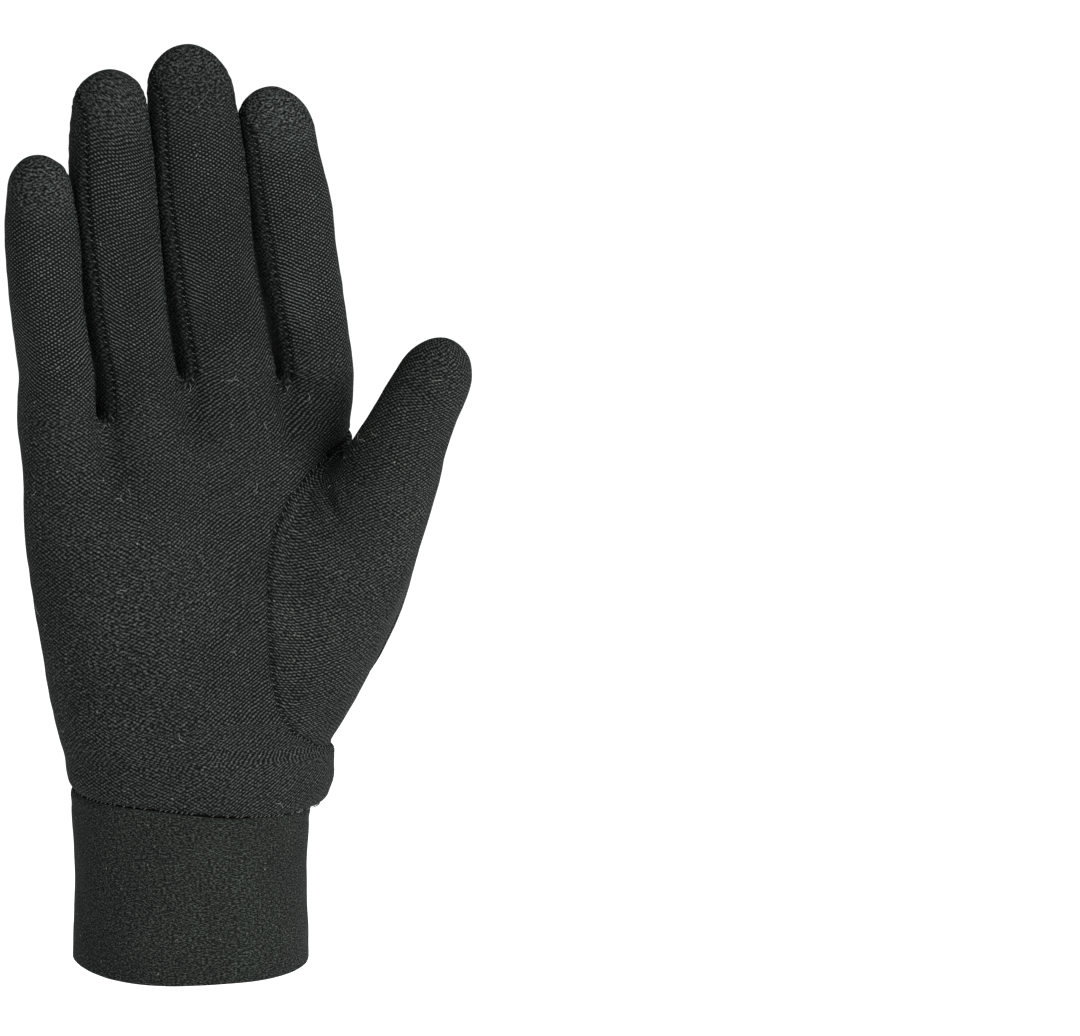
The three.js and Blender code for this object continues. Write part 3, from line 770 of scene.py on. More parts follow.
# Least distance of points from a line of skin points, and the place along the line
def nearness(points, line):
    steps = np.linalg.norm(np.diff(line, axis=0), axis=1)
    places = np.concatenate([[0], np.cumsum(steps)])
    best = np.full(len(points), 1e9)
    where = np.zeros(len(points))
    for start in range(0, len(points), 4000):
        block = points[start:start + 4000]
        gaps = np.linalg.norm(block[:, None, :] - line[None, :, :], axis=2)
        nearest = np.argmin(gaps, axis=1)
        best[start:start + 4000] = gaps[np.arange(len(block)), nearest]
        where[start:start + 4000] = places[nearest]
    return best, where


# Slow unevenness: a sum of plane waves of seeded directions, lengths and phases
def waves(points, kind, seedStep=0):
    count, shortest, longest, seed = uneven[kind]
    rng = np.random.default_rng(seed + seedStep)
    directions = unit(rng.normal(size=(count, 3)))
    lengths = rng.uniform(shortest, longest, count)
    phases = rng.uniform(0, 2 * math.pi, count)
    return np.sin(points @ directions.T * 2 * math.pi / lengths + phases).sum(axis=1) / math.sqrt(count)


seams = []
for index in range(3):
    for which, column in ((index, -1), (index + 1, 0)):
        for side in (1, -1):
            seams.append({"line": tongues[which, side]["ids"][:len(stripRows) + 2, column],
                          "owners": [tongues[which, side]["ids"], strips[index]]})
    webIds = firstColumns[index] + fine["tongue"] + np.arange(0, fine["web"] + 1)
    for side in (1, -1):
        grid = handGrids[side]
        seams.append({"line": grid["ids"][-1, webIds], "owners": [grid["ids"], strips[index]]})
seams.append({"line": np.append(holeIds, holeIds[0]),
              "owners": [frontGrid["ids"], backGrid["ids"], thumbIds[:fine["gusset"] // 2]]})

seamDistance = np.full(len(skinPoints), 1e9)
seamPlace = np.zeros(len(skinPoints))
for seam in seams:
    owners = np.unique(np.concatenate([ids.ravel() for ids in seam["owners"]]))
    distance, place = nearness(skinPoints[owners], skinPoints[seam["line"]])
    closer = distance < seamDistance[owners]
    seamDistance[owners] = np.where(closer, distance, seamDistance[owners])
    seamPlace[owners] = np.where(closer, place, seamPlace[owners])

baseNormals = skinNormals(skinPoints)
ripple = np.sin(seamPlace * 2 * math.pi / relief["puckerPitch"] + waves(skinPoints, "ripples") * 1.5)
shift = -relief["groove"] * np.exp(-((seamDistance / relief["grooveWidth"]) ** 2))
shift += relief["puff"] * np.exp(-(((seamDistance - relief["puffAt"]) / relief["puffWidth"]) ** 2))
near = np.exp(-((seamDistance / relief["puckerReach"]) ** 2)) * (1 - np.exp(-((seamDistance / 0.6) ** 2)))
shift += relief["pucker"] * ripple * near
shift += relief["lumps"] * waves(skinPoints, "lumps")
shift += relief["dimples"] * waves(skinPoints, "dimples")

# the hand's lower edge rolls in where it meets the cuff
hemRise = np.maximum(skinPoints[:, 2] - cuffTop + cuff["seamFall"] * skinPoints[:, 0], 0)
shift -= relief["hem"] * np.exp(-((hemRise / relief["hemWidth"]) ** 2))
shift += relief["hemPuff"] * np.exp(-((hemRise - relief["hemPuffAt"]) ** 2))

# creases that spread from the bottom of each crotch
for index in range(3):
    for side in (1, -1):
        grid = handGrids[side]
        ids = np.unique(grid["ids"])
        webIds = firstColumns[index] + fine["tongue"] + fine["web"] // 2
        away = skinPoints[ids] - skinPoints[grid["ids"][-1, webIds]]
        radius = np.hypot(away[:, 0], away[:, 2])
        turn = np.arctan2(away[:, 0], -away[:, 2])
        rays = np.sin(turn * relief["rays"] + index * 2 + waves(skinPoints[ids], "crotch", index))
        fade = np.exp(-(((radius - relief["raysAt"]) / relief["raysWidth"]) ** 2))
        shift[ids] += relief["crotchRays"] * rays * fade * (away[:, 2] < relief["raysTop"])


# Lines through named points, every 0.4 mm
def lineThrough(corners):
    corners = np.array(corners, float)
    places = np.append(0, np.cumsum(np.linalg.norm(np.diff(corners, axis=0), axis=1)))
    at = np.arange(0, places[-1], 0.4)
    return np.stack([np.interp(at, places, corners[:, k]) for k in range(3)], axis=1)


for crease in creases:
    distance, place = nearness(skinPoints, lineThrough(crease["points"]))
    whole = place.max()
    fade = np.clip(np.minimum(place, whole - place) / (relief["creaseEnd"] * whole), 0.05, 1)
    valley = np.exp(-((distance / crease["wide"]) ** 2))
    ridge = np.exp(-((distance / crease["wide"] - relief["creaseRidgeAt"]) ** 2))
    shift += crease["deep"] * fade * (relief["creaseRidge"] * ridge - valley)

shapedPoints = skinPoints + baseNormals * shift[:, None]


# How far the cuff's seam lies above or below its even line, over a place on its oval
def seamWander(points):
    return relief["seamWave"] * waves(points * np.array([1, 1, 0]), "cuffSeam")


shapedPoints[:, 2] += seamWander(skinPoints) * np.exp(-((hemRise / relief["seamWaveReach"]) ** 2))
shapedNormals = skinNormals(shapedPoints)
print("skin shaped")


# Which way the knit shows: x is the lean of its bright lines, y how loose and mixed it looks, z how much
# painted shade darkens it, painted light where it is below zero

show = {
    "plain": (0.15, 0.3, 0.03),
    "thumb": (0.08, 0.36, 0.0),
    "strip": 0.55,
    "palmLean": -0.1,    # at the little finger's side, and how much more past the middle
    "palmLeanMore": 0.5,
    "palmLoose": 0.44,
    "palmTighter": 0.14,
    "rootTighter": 0.06,
    "back": (-0.35, 0.3),
    "chevron": 0.6,      # lean to either side of a finger's middle
    "shaftTighter": 0.22,
    "tipLooser": 0.75,
    "tipLoose": 0.85,
    # painted shade added on the fingertips
    "tipPaintedShade": 0.2,
}
knitWay = np.tile(show["plain"], (len(skinPoints), 1))
patchiness = 0.5 + 0.28 * waves(skinPoints, "knitPatches")
for side, grid in handGrids.items():
    at = handRows[:, None]
    across = acrossAt(side, rootPoints(side), at)
    if side > 0:
        lean = show["palmLean"] + show["palmLeanMore"] * smoothstep(across, -0.55, 0.1)
        loose = show["palmLoose"] - show["palmTighter"] * smoothstep(across, -0.5, 0.3)
        loose = loose - show["rootTighter"] * smoothstep(at, 0.7, 1.0)
    else:
        lean, loose = (value + 0 * across for value in show["back"])
    knitWay[grid["ids"], 0] = lean
    knitWay[grid["ids"], 1] = loose
    grid["lean"] = lean[-1]
for (index, side), tongue in tongues.items():
    ids = tongue["ids"][1:-1]
    share = gatheredShares(fine["tongue"])[None, :]
    shaft = fingerRows[:, None]
    chevron = show["chevron"] * np.clip((share - 0.5) * 3, -1, 1) * (1 - smoothstep(shaft, 0.35, 0.7))
    first = firstColumns[index]
    rootLean = handGrids[side]["lean"][None, first:first + fine["tongue"] + 1]
    ahead = smoothstep(shaft, 0, 0.25)
    tip = smoothstep(shaft + 0 * share, 0.8, 1.1)
    # each finger's painted shade fades in from the palm's, with more painted shade at the tip
    shade, plainLoose, plainPaintedShade = fingers[index]["shade"], show["plain"][1], show["plain"][2]
    knitWay[ids, 0] = chevron * ahead * side + rootLean * (1 - ahead)
    knitWay[ids, 1] = plainLoose - show["shaftTighter"] * ahead + show["tipLooser"] * tip
    knitWay[ids, 2] = plainPaintedShade + (shade - plainPaintedShade) * smoothstep(shaft, -0.2, 0.3)
    knitWay[ids, 2] += show["tipPaintedShade"] * tip
    knitWay[tongue["ids"][-1], 1:] = show["tipLoose"], shade + show["tipPaintedShade"]
for ids in strips.values():
    knitWay[ids[1:-1, 1:-1], 1] = show["strip"]
knitWay[openRings[1:]] = show["thumb"]
knitWay[:, 1] = np.clip(knitWay[:, 1] * (0.6 + 0.8 * patchiness), 0.05, 0.95)
# painted shade along the seams' grooves
knitWay[:, 2] += relief["seamPaintedShade"] * np.exp(-((seamDistance / relief["seamPaintedShadeWidth"]) ** 2))


# Meshes

# A closed cloth: the skin, the same skin one wall below it, and the rim that joins their borders
def clothMesh(name, wall):
    own = [patch for patch in patches if patch["piece"] == name]
    corners = np.concatenate([patch["corners"] for patch in own], axis=0)
    places = np.concatenate([patch["places"] for patch in own], axis=0)
    used, local = np.unique(corners, return_inverse=True)
    corners = local.reshape(corners.shape)
    count = len(used)
    outer = shapedPoints[used]
    normals = shapedNormals[used]
    inner = outer - baseNormals[used] * wall
    placeOf = np.zeros((count, 2))
    placeOf[corners.ravel()] = places.reshape(-1, 2)

    same = corners == np.roll(corners, -1, axis=1)
    whole = ~same.any(axis=1)
    quads, quadPlaces = corners[whole], places[whole]
    pinched, pinchedPlaces = corners[~whole], places[~whole]
    keep = ~same[~whole]
    triangles = pinched[keep].reshape(-1, 3) if len(pinched) else np.zeros((0, 3), int)
    trianglePlaces = pinchedPlaces[keep].reshape(-1, 3, 2) if len(pinched) else np.zeros((0, 3, 2))

    starts = np.concatenate([quads.ravel(), triangles.ravel()])
    ends = np.concatenate([np.roll(quads, -1, axis=1).ravel(), np.roll(triangles, -1, axis=1).ravel()])
    border = ~np.isin(starts * count + ends, ends * count + starts)
    a, b = starts[border], ends[border]
    rim = np.stack([b, a, a + count, b + count], axis=1)
    rimPlaces = np.stack([placeOf[b], placeOf[a], placeOf[a], placeOf[b]], axis=1)

    points = np.concatenate([outer, inner], axis=0)
    ways = np.concatenate([knitWay[used], knitWay[used]], axis=0)
    quadAll = np.concatenate([quads, quads[:, ::-1] + count, rim], axis=0)
    quadUv = np.concatenate([quadPlaces, quadPlaces[:, ::-1], rimPlaces], axis=0)
    triangleAll = np.concatenate([triangles, triangles[:, ::-1] + count], axis=0)
    triangleUv = np.concatenate([trianglePlaces, trianglePlaces[:, ::-1]], axis=0)
    rimNormals = unit(np.cross(points[rim[:, 2]] - points[rim[:, 0]], points[rim[:, 3]] - points[rim[:, 1]]))
    pointNormals = np.concatenate([normals, -normals], axis=0)
    loopNormals = np.concatenate([
        pointNormals[quadAll[:-len(rim)].ravel()], np.repeat(rimNormals, 4, axis=0),
        pointNormals[triangleAll.ravel()],
    ])
    return buildMesh(name, points, [quadAll, triangleAll], [quadUv, triangleUv], ways, loopNormals)


# uvSets: places in the knit for every corner of the faces; ways: how the knit shows at each point
def buildMesh(name, points, faceSets, uvSets, ways, loopNormals=None):
    mesh = bpy.data.meshes.new(name)
    loops = np.concatenate([faces.ravel() for faces in faceSets]).astype(np.int32)
    sizes = np.concatenate([np.full(len(faces), faces.shape[1]) for faces in faceSets]).astype(np.int32)
    mesh.vertices.add(len(points))
    mesh.vertices.foreach_set("co", (points * mm).astype(np.float32).ravel())
    mesh.loops.add(len(loops))
    mesh.loops.foreach_set("vertex_index", loops)
    mesh.polygons.add(len(sizes))
    mesh.polygons.foreach_set("loop_start", (np.cumsum(sizes) - sizes).astype(np.int32))
    mesh.polygons.foreach_set("use_smooth", np.ones(len(sizes), bool))
    uvMap = mesh.uv_layers.new(name="knit")
    uvAll = np.concatenate([uv.reshape(-1, 2) for uv in uvSets])
    uvMap.data.foreach_set("uv", uvAll.astype(np.float32).ravel())
    way = mesh.attributes.new("knitWay", "FLOAT_VECTOR", "POINT")
    way.data.foreach_set("vector", ways.astype(np.float32).ravel())
    mesh.update(calc_edges=True)
    mesh.validate()
    if loopNormals is not None:
        mesh.normals_split_custom_set(loopNormals.tolist())
    piece = bpy.data.objects.new(name, mesh)
    bpy.context.collection.objects.link(piece)
    return piece


# Materials

knitLook = {
    "handKnit": {"slot": "hand_knit", "dark": (0.0008, 0.0012, 0.0010), "light": (0.0425, 0.0492, 0.0462),
                 "across": 0.8, "along": 0.94, "relief": 0.16, "contrast": 1.0},
    # the fourchettes' knit is the hand's yarn painted darker: painted shade between the fingers
    "sideKnitPaintedShade": {"slot": "side_knit", "dark": (0.0010, 0.0016, 0.0013), "light": (0.034, 0.0395, 0.0365),
                 "across": 0.86, "along": 1.02, "relief": 0.14, "contrast": 0.9},
    # the thumb's knit is the hand's yarn painted lighter: painted light on the thumb
    "thumbKnit": {"slot": "thumb_knit", "dark": (0.0008, 0.0013, 0.0011), "light": (0.0475, 0.0525, 0.0485),
                  "across": 0.76, "along": 0.88, "relief": 0.15, "contrast": 1.0},
    "cuffKnit": {"slot": "cuff_knit", "dark": (0.0014, 0.0020, 0.0017), "light": (0.0222, 0.0264, 0.0236),
                 "across": 0.62, "along": 0.6, "relief": 0.22, "contrast": 1.25},
}

loopLook = {
    "drift": (0.14, 4, 0.6),      # noises: scale, detail, roughness
    "blobs": (0.95, 1.5, 0.6),
    "fibres": (2.4, 3, 0.7),
    "strands": (0.8, 2, 0.8),
    "cloud": (60, 5, 0.6),
    "wander": 1.8,                # how far the knit's lines wander, in millimetres
    "blobHeight": 1.7,
    "blobGain": 5.0,
    "fibreGain": 1.8,
    "strandGain": 2.2,
    "least": 0.2,
    "crest": 1.1,
    "glintScale": 1.1,
    "glintShare": 0.985,
    "glintEdge": (0.08, 0.32),
    # colour of the painted glints
    "paintedGlint": (0.13, 0.135, 0.12, 1),
}


# Sets an input to a value or links it to an output
def feed(tree, value, socket):
    if isinstance(value, bpy.types.NodeSocket):
        tree.links.new(value, socket)
    else:
        socket.default_value = value


# A node with its settings; inputs: values or links by the input's name or number
def addNode(tree, kind, inputs, **settings):
    node = tree.nodes.new(kind)
    for name, value in settings.items():
        setattr(node, name, value)
    for name, value in inputs.items():
        feed(tree, value, node.inputs[name])
    return node


def mathNode(tree, operation, *values):
    return addNode(tree, "ShaderNodeMath", dict(enumerate(values)), operation=operation).outputs[0]


def noiseNode(tree, place, look):
    scale, detail, roughness = look
    inputs = {"Vector": place, "Scale": scale, "Detail": detail, "Roughness": roughness}
    return addNode(tree, "ShaderNodeTexNoise", inputs)


# Value mapped smoothly from the range low to high onto 0 to 1
def stepNode(tree, value, low, high):
    inputs = {"Value": value, "From Min": low, "From Max": high}
    return addNode(tree, "ShaderNodeMapRange", inputs, interpolation_type="SMOOTHSTEP").outputs[0]


# Knit loops: two cosine waves, one rising and one falling to the right, whose crests cross at staggered
# points. Lean strengthens the rising one. Where the knit is loose, short blobs of noise take over.
# Places are in millimetres across and along the knit. The third output paints glints of light on a few
# fibres, as painted highlights.
def makeKnitGroup():
    tree = bpy.data.node_groups.new("knitLoops", "ShaderNodeTree")
    tree.interface.new_socket("Place", in_out="INPUT", socket_type="NodeSocketVector")
    for name in ("Across", "Along", "Lean", "Loose"):
        tree.interface.new_socket(name, in_out="INPUT", socket_type="NodeSocketFloat")
    for name in ("Height", "Yarn", "PaintedGlint"):
        tree.interface.new_socket(name, in_out="OUTPUT", socket_type="NodeSocketFloat")
    entry, leave = tree.nodes.new("NodeGroupInput"), tree.nodes.new("NodeGroupOutput")
    place, loose = entry.outputs["Place"], entry.outputs["Loose"]
    calc = lambda operation, *values: mathNode(tree, operation, *values)
    swing = lambda noise, gain: calc("MULTIPLY", calc("SUBTRACT", noise.outputs["Fac"], 0.5), gain)

    drift = noiseNode(tree, place, loopLook["drift"])
    centred = addNode(tree, "ShaderNodeVectorMath", {0: drift.outputs["Color"], 1: (0.5, 0.5, 0.5)},
                      operation="SUBTRACT")
    drifts = {0: centred.outputs[0], 1: (loopLook["wander"],) * 3, 2: place}
    moved = addNode(tree, "ShaderNodeVectorMath", drifts, operation="MULTIPLY_ADD")
    parts = addNode(tree, "ShaderNodeSeparateXYZ", {0: moved.outputs[0]})

    turn = 2 * math.pi
    s = calc("DIVIDE", parts.outputs["X"], entry.outputs["Across"])
    t = calc("DIVIDE", parts.outputs["Y"], entry.outputs["Along"])
    halfS = calc("MULTIPLY", s, 0.5)
    rising = calc("COSINE", calc("MULTIPLY", calc("SUBTRACT", halfS, t), turn))
    falling = calc("COSINE", calc("MULTIPLY", calc("ADD", halfS, t), turn))
    more = calc("MULTIPLY_ADD", entry.outputs["Lean"], 0.5, 0.5)
    less = calc("SUBTRACT", 1.0, more)
    lattice = calc("ADD", calc("MULTIPLY", rising, more), calc("MULTIPLY", falling, less))

    cell = addNode(tree, "ShaderNodeCombineXYZ", {"X": s, "Y": calc("MULTIPLY", t, loopLook["blobHeight"])})
    blob = swing(noiseNode(tree, cell.outputs[0], loopLook["blobs"]), loopLook["blobGain"])
    tight = calc("SUBTRACT", 1.0, loose)
    crests = calc("ADD", calc("MULTIPLY", lattice, tight), calc("MULTIPLY", blob, loose))
    total = calc("ADD", crests, swing(noiseNode(tree, place, loopLook["fibres"]), loopLook["fibreGain"]))
    feed(tree, calc("MULTIPLY_ADD", total, 0.4, 0.5), leave.inputs["Height"])
    # gaps between the loops are widest where the knit is tight
    gapEnd = calc("MAXIMUM", calc("MULTIPLY_ADD", loose, -1.1, 0.15), calc("MULTIPLY_ADD", loose, -0.4, -0.1))
    yarn = stepNode(tree, total, gapEnd, loopLook["crest"])
    strand = noiseNode(tree, cell.outputs[0], loopLook["strands"])
    vary = calc("ADD", swing(strand, loopLook["strandGain"]), 1.0)
    feed(tree, calc("MULTIPLY", yarn, calc("MAXIMUM", vary, loopLook["least"])), leave.inputs["Yarn"])

    # painted highlights: glints of light on a few fibres
    glintCells = addNode(tree, "ShaderNodeTexVoronoi", {"Scale": loopLook["glintScale"], "Vector": place})
    chosen = addNode(tree, "ShaderNodeSeparateColor", {0: glintCells.outputs["Color"]})
    rare = calc("GREATER_THAN", chosen.outputs[0], loopLook["glintShare"])
    close = calc("SUBTRACT", 1.0, stepNode(tree, glintCells.outputs["Distance"], *loopLook["glintEdge"]))
    paintedGlint = calc("MULTIPLY", calc("MULTIPLY", rare, chosen.outputs[1]), close)
    feed(tree, paintedGlint, leave.inputs["PaintedGlint"])
    return tree


knitGroup = makeKnitGroup()


# Dark gaps and light yarn by the knit loops, clouded a little, with painted shade by the third value of
# knitWay and a few painted highlights
def knitMaterial(name, look):
    material = bpy.data.materials.new(name)
    material.use_nodes = True
    tree = material.node_tree
    place = addNode(tree, "ShaderNodeUVMap", {}, uv_map="knit")
    way = addNode(tree, "ShaderNodeAttribute", {}, attribute_name="knitWay")
    ways = addNode(tree, "ShaderNodeSeparateXYZ", {0: way.outputs["Vector"]})
    knit = addNode(tree, "ShaderNodeGroup", {}, node_tree=knitGroup)
    knitInputs = {"Place": place.outputs[0], "Lean": ways.outputs["X"], "Loose": ways.outputs["Y"],
                  "Across": look["across"], "Along": look["along"]}
    for socket, value in knitInputs.items():
        feed(tree, value, knit.inputs[socket])

    strength = mathNode(tree, "MULTIPLY", knit.outputs["Yarn"], look["contrast"])
    tone = addNode(tree, "ShaderNodeMix", {}, data_type="RGBA", clamp_factor=False)
    for number, value in ((0, strength), (6, (*look["dark"], 1)), (7, (*look["light"], 1))):
        feed(tree, value, tone.inputs[number])
    where = tree.nodes.new("ShaderNodeTexCoord")
    cloud = noiseNode(tree, where.outputs["Object"], loopLook["cloud"])
    clouding = {"Value": cloud.outputs["Fac"], "From Min": 0.3, "From Max": 0.7, "To Min": 0.8, "To Max": 1.2}
    patchy = addNode(tree, "ShaderNodeMapRange", clouding)
    # painted shade: the tone is darkened by the third value of knitWay, lightened where it is below zero,
    # times the cloud
    kept = mathNode(tree, "SUBTRACT", 1.0, ways.outputs["Z"])
    shade = mathNode(tree, "MULTIPLY", patchy.outputs[0], kept)
    shaded = addNode(tree, "ShaderNodeVectorMath", {}, operation="SCALE")
    feed(tree, tone.outputs[2], shaded.inputs[0])
    feed(tree, shade, shaded.inputs["Scale"])
    # the painted highlights are mixed into the colour
    bright = addNode(tree, "ShaderNodeMix", {}, data_type="RGBA")
    for number, value in ((0, knit.outputs["PaintedGlint"]), (6, shaded.outputs[0]), (7, loopLook["paintedGlint"])):
        feed(tree, value, bright.inputs[number])
    raised = {"Strength": 1.0, "Distance": look["relief"] * mm, "Height": knit.outputs["Height"]}
    bump = addNode(tree, "ShaderNodeBump", raised)

    shader = tree.nodes["Principled BSDF"]
    feed(tree, bright.outputs[2], shader.inputs["Base Color"])
    feed(tree, bump.outputs[0], shader.inputs["Normal"])
    shader.inputs["Roughness"].default_value = 0.9
    shader.inputs["Specular IOR Level"].default_value = 0.06
    return material


materials = {name: knitMaterial(name, look) for name, look in knitLook.items()}


def dress(piece, node, materialName):
    piece.data.materials.append(materials[materialName])
    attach(piece, "root")
    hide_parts(node)


clothPieces = [
    ("palmPanel", "palm_panel", "handKnit"),
    ("backPanel", "back_panel", "handKnit"),
    ("stripLittleRing", "fourchette_little_ring", "sideKnitPaintedShade"),
    ("stripRingMiddle", "fourchette_ring_middle", "sideKnitPaintedShade"),
    ("stripMiddleIndex", "fourchette_middle_index", "sideKnitPaintedShade"),
    ("thumb", "thumb", "thumbKnit"),
]
for name, node, materialName in clothPieces:
    piece = clothMesh(name, hand["wall"])
    dress(piece, node, materialName)
print("cloth pieces made")


# Cuff

# The cuff: a squared oval carried down the outside of its wall, round the folded hem and up the inside.
# Its upper edge rolls into the seam, with a low ridge and a dip under it.
def makeCuff():
    hem = cuff["hemRound"] / cuff["height"]
    shares = 1 - np.linspace(0, 1, cuff["rows"]) ** cuff["gather"]
    outside = np.stack([hem + (1 - hem) * shares, np.ones(len(shares))], axis=1)
    turn = np.linspace(0, math.pi, cuff["foldRows"])[1:-1]
    fold = np.stack([hem * (1 - np.sin(turn)), 0.5 + 0.5 * np.cos(turn)], axis=1)
    inside = np.stack([outside[::-1, 0], np.zeros(len(shares))], axis=1)
    profile = np.concatenate([outside, fold, inside])
    level, out = profile[:, :1], profile[:, 1:]
    angle = np.linspace(0, 2 * math.pi, cuff["columns"] + 1)[None, :-1]
    below = cuff["height"] * (1 - level)
    inset = (1 - out) * cuff["wall"] + cuff["waist"] * cuff["width"] / 2 * np.sin(math.pi * level) ** 2
    roll = cuff["roll"] * np.exp(-((below / cuff["rollWidth"]) ** 2))
    roll -= cuff["ridge"] * np.exp(-(((below - cuff["ridgeAt"]) / cuff["ridgeWidth"]) ** 2))
    roll += cuff["dip"] * np.exp(-(((below - cuff["dipAt"]) / cuff["dipWidth"]) ** 2))
    inset = inset + roll * out
    x = (cuff["width"] / 2 - inset) * power(np.cos(angle), 2 / cuff["squareness"])
    y = (cuff["depth"] / 2 - inset) * power(np.sin(angle), 2 / cuff["squareness"])
    fall = cuff["hemFall"] + (cuff["seamFall"] - cuff["hemFall"]) * level
    points = np.stack([x, y, level * cuff["height"] - fall * x], axis=-1)
    flat = points.reshape(-1, 3)
    outward = unit(flat * np.array([1, 1, 0]))
    lump = cuff["lumps"] * waves(flat, "cuffLumps") + cuff["dimples"] * waves(flat, "cuffDimples")
    depthBelow = (below + 0 * angle).reshape(-1)
    flat = flat + outward * lump[:, None]
    flat[:, 2] += seamWander(flat) * np.exp(-((depthBelow / relief["seamWaveReach"]) ** 2))
    hemWave = cuff["hemWave"] * waves(flat * np.array([1, 1, 0]), "cuffHem")
    flat[:, 2] += hemWave * (1 - level + 0 * angle).reshape(-1) ** 2
    ids = np.arange(len(flat)).reshape(len(profile), cuff["columns"])
    ids = np.concatenate([ids, ids[:, :1]], axis=1)
    ids = np.concatenate([ids, ids[:1]], axis=0)
    girth = np.linspace(0, math.pi * (cuff["width"] + cuff["depth"]) / 2, cuff["columns"] + 1)[None, :]
    steps = np.append(0, np.cumsum(np.linalg.norm(np.diff(points[:, 0], axis=0), axis=1)))
    steps = np.append(steps, steps[-1] + cuff["wall"])[:, None]
    uv = np.stack([girth + 0 * steps, -steps + 0 * girth], axis=-1)
    corners, places = patchCells({"ids": ids, "uv": uv, "flip": True})
    ways = np.tile([0.0, cuff["loose"], 0.0], (len(flat), 1))
    return buildMesh("cuff", flat, [corners], [places], ways)


cuffPiece = makeCuff()
dress(cuffPiece, "cuff", "cuffKnit")
print("cuff made")


# Stitches and lint

# sets: seams of the fingers, of the thumb and of the cuff
stitchLook = {
    "sets": table(
        "pitch length thick low rise lean kept seed",
        (1.8, 1.15, 0.11, 0.16, 0.34, 0.5, 0.92, 61),
        (1.6, 1.1, 0.1, 0.14, 0.32, 0.55, 0.9, 62),
        (1.3, 1.0, 0.11, 0.02, 0.3, 1.2, 0.62, 63),
    ),
    "sides": 6,
    "rings": 5,
    "colour": (0.05, 0.055, 0.051),
}

lint = {
    "spots": [
        (5.8, -11.3, 150.1), (6.6, -11.2, 149.2), (45.3, -44.9, 151.3), (21.1, -19.8, 40.7),
        (20.2, -20.6, 39.8), (31.6, -22.8, 129.9), (33.7, -26.4, 135.5), (-3.7, -6.4, 146.9),
        (-25.0, -4.6, 138.8), (23.5, -7.3, 146.0),
    ],
    "count": 44,
    "short": 1.2,
    "long": 3.4,
    "thick": 0.045,
    "rings": 7,
    "sides": 4,
    "colour": (0.14, 0.145, 0.135),
    "seed": 91,
}


# Tubes round many paths at once, closed at both ends. paths: one row of points each; ups: a direction each
# that the tube is built from; widths: the radius at each point of a path
def tubes(name, paths, ups, widths, sides):
    count, rings = paths.shape[:2]
    ahead = unit(np.gradient(paths, axis=1))
    first = unit(ups[:, None, :] - ahead * np.sum(ups[:, None, :] * ahead, axis=-1, keepdims=True))
    second = np.cross(ahead, first)
    turn = np.linspace(0, 2 * math.pi, sides + 1)[:-1]
    ring = first[:, :, None] * np.cos(turn)[:, None] + second[:, :, None] * np.sin(turn)[:, None]
    points = (paths[:, :, None] + ring * widths[None, :, None, None]).reshape(-1, 3)
    ids = np.arange(count * rings * sides).reshape(count, rings, sides)
    nextIds = np.roll(ids, -1, axis=2)
    walls = np.stack([ids[:, :-1], nextIds[:, :-1], nextIds[:, 1:], ids[:, 1:]], axis=-1).reshape(-1, 4)
    caps = np.concatenate([ids[:, 0, ::-1], ids[:, -1]], axis=0)
    places = [np.zeros((len(walls), 4, 2)), np.zeros((len(caps), sides, 2))]
    return buildMesh(name, points, [walls, caps], places, np.zeros((len(points), 3)))


# Places every pitch along a line of points, with the direction of the line and the normal at each
def placesAlong(line, normals, pitch, kept, rng):
    run = np.append(0, np.cumsum(np.linalg.norm(np.diff(line, axis=0), axis=1)))
    at = np.arange(pitch / 2, run[-1] - pitch / 4, pitch)
    at = at + rng.uniform(-0.12, 0.12, len(at)) * pitch
    at = at[rng.random(len(at)) < kept]
    pick = lambda values, where: np.stack([np.interp(where, run, values[:, k]) for k in range(3)], axis=1)
    ahead = unit(pick(line, at + 0.3) - pick(line, at - 0.3) + 1e-9)
    return pick(line, at), ahead, unit(pick(normals, at))


# Short arched threads that cross a seam, their ends sunk into the cloth on either side
def makeStitches(name, lines, look):
    rng = np.random.default_rng(look["seed"])
    places = lambda ids: placesAlong(shapedPoints[ids], baseNormals[ids], look["pitch"], look["kept"], rng)
    found = [places(ids) for ids in lines]
    centre, ahead, normal = (np.concatenate([row[k] for row in found]) for k in range(3))
    across = unit(np.cross(normal, ahead) + ahead * look["lean"])
    t = np.linspace(-1, 1, stitchLook["rings"])
    length = look["length"] * rng.uniform(0.8, 1.15, len(centre))
    lift = look["low"] + look["rise"] * (1 - t * t)
    paths = (
        centre[:, None] + across[:, None] * (length[:, None] * t / 2)[..., None]
        + normal[:, None] * lift[None, :, None]
    )
    widths = look["thick"] * np.array([0.55, 1, 1, 1, 0.55])
    return tubes(name, paths, normal, widths, stitchLook["sides"])


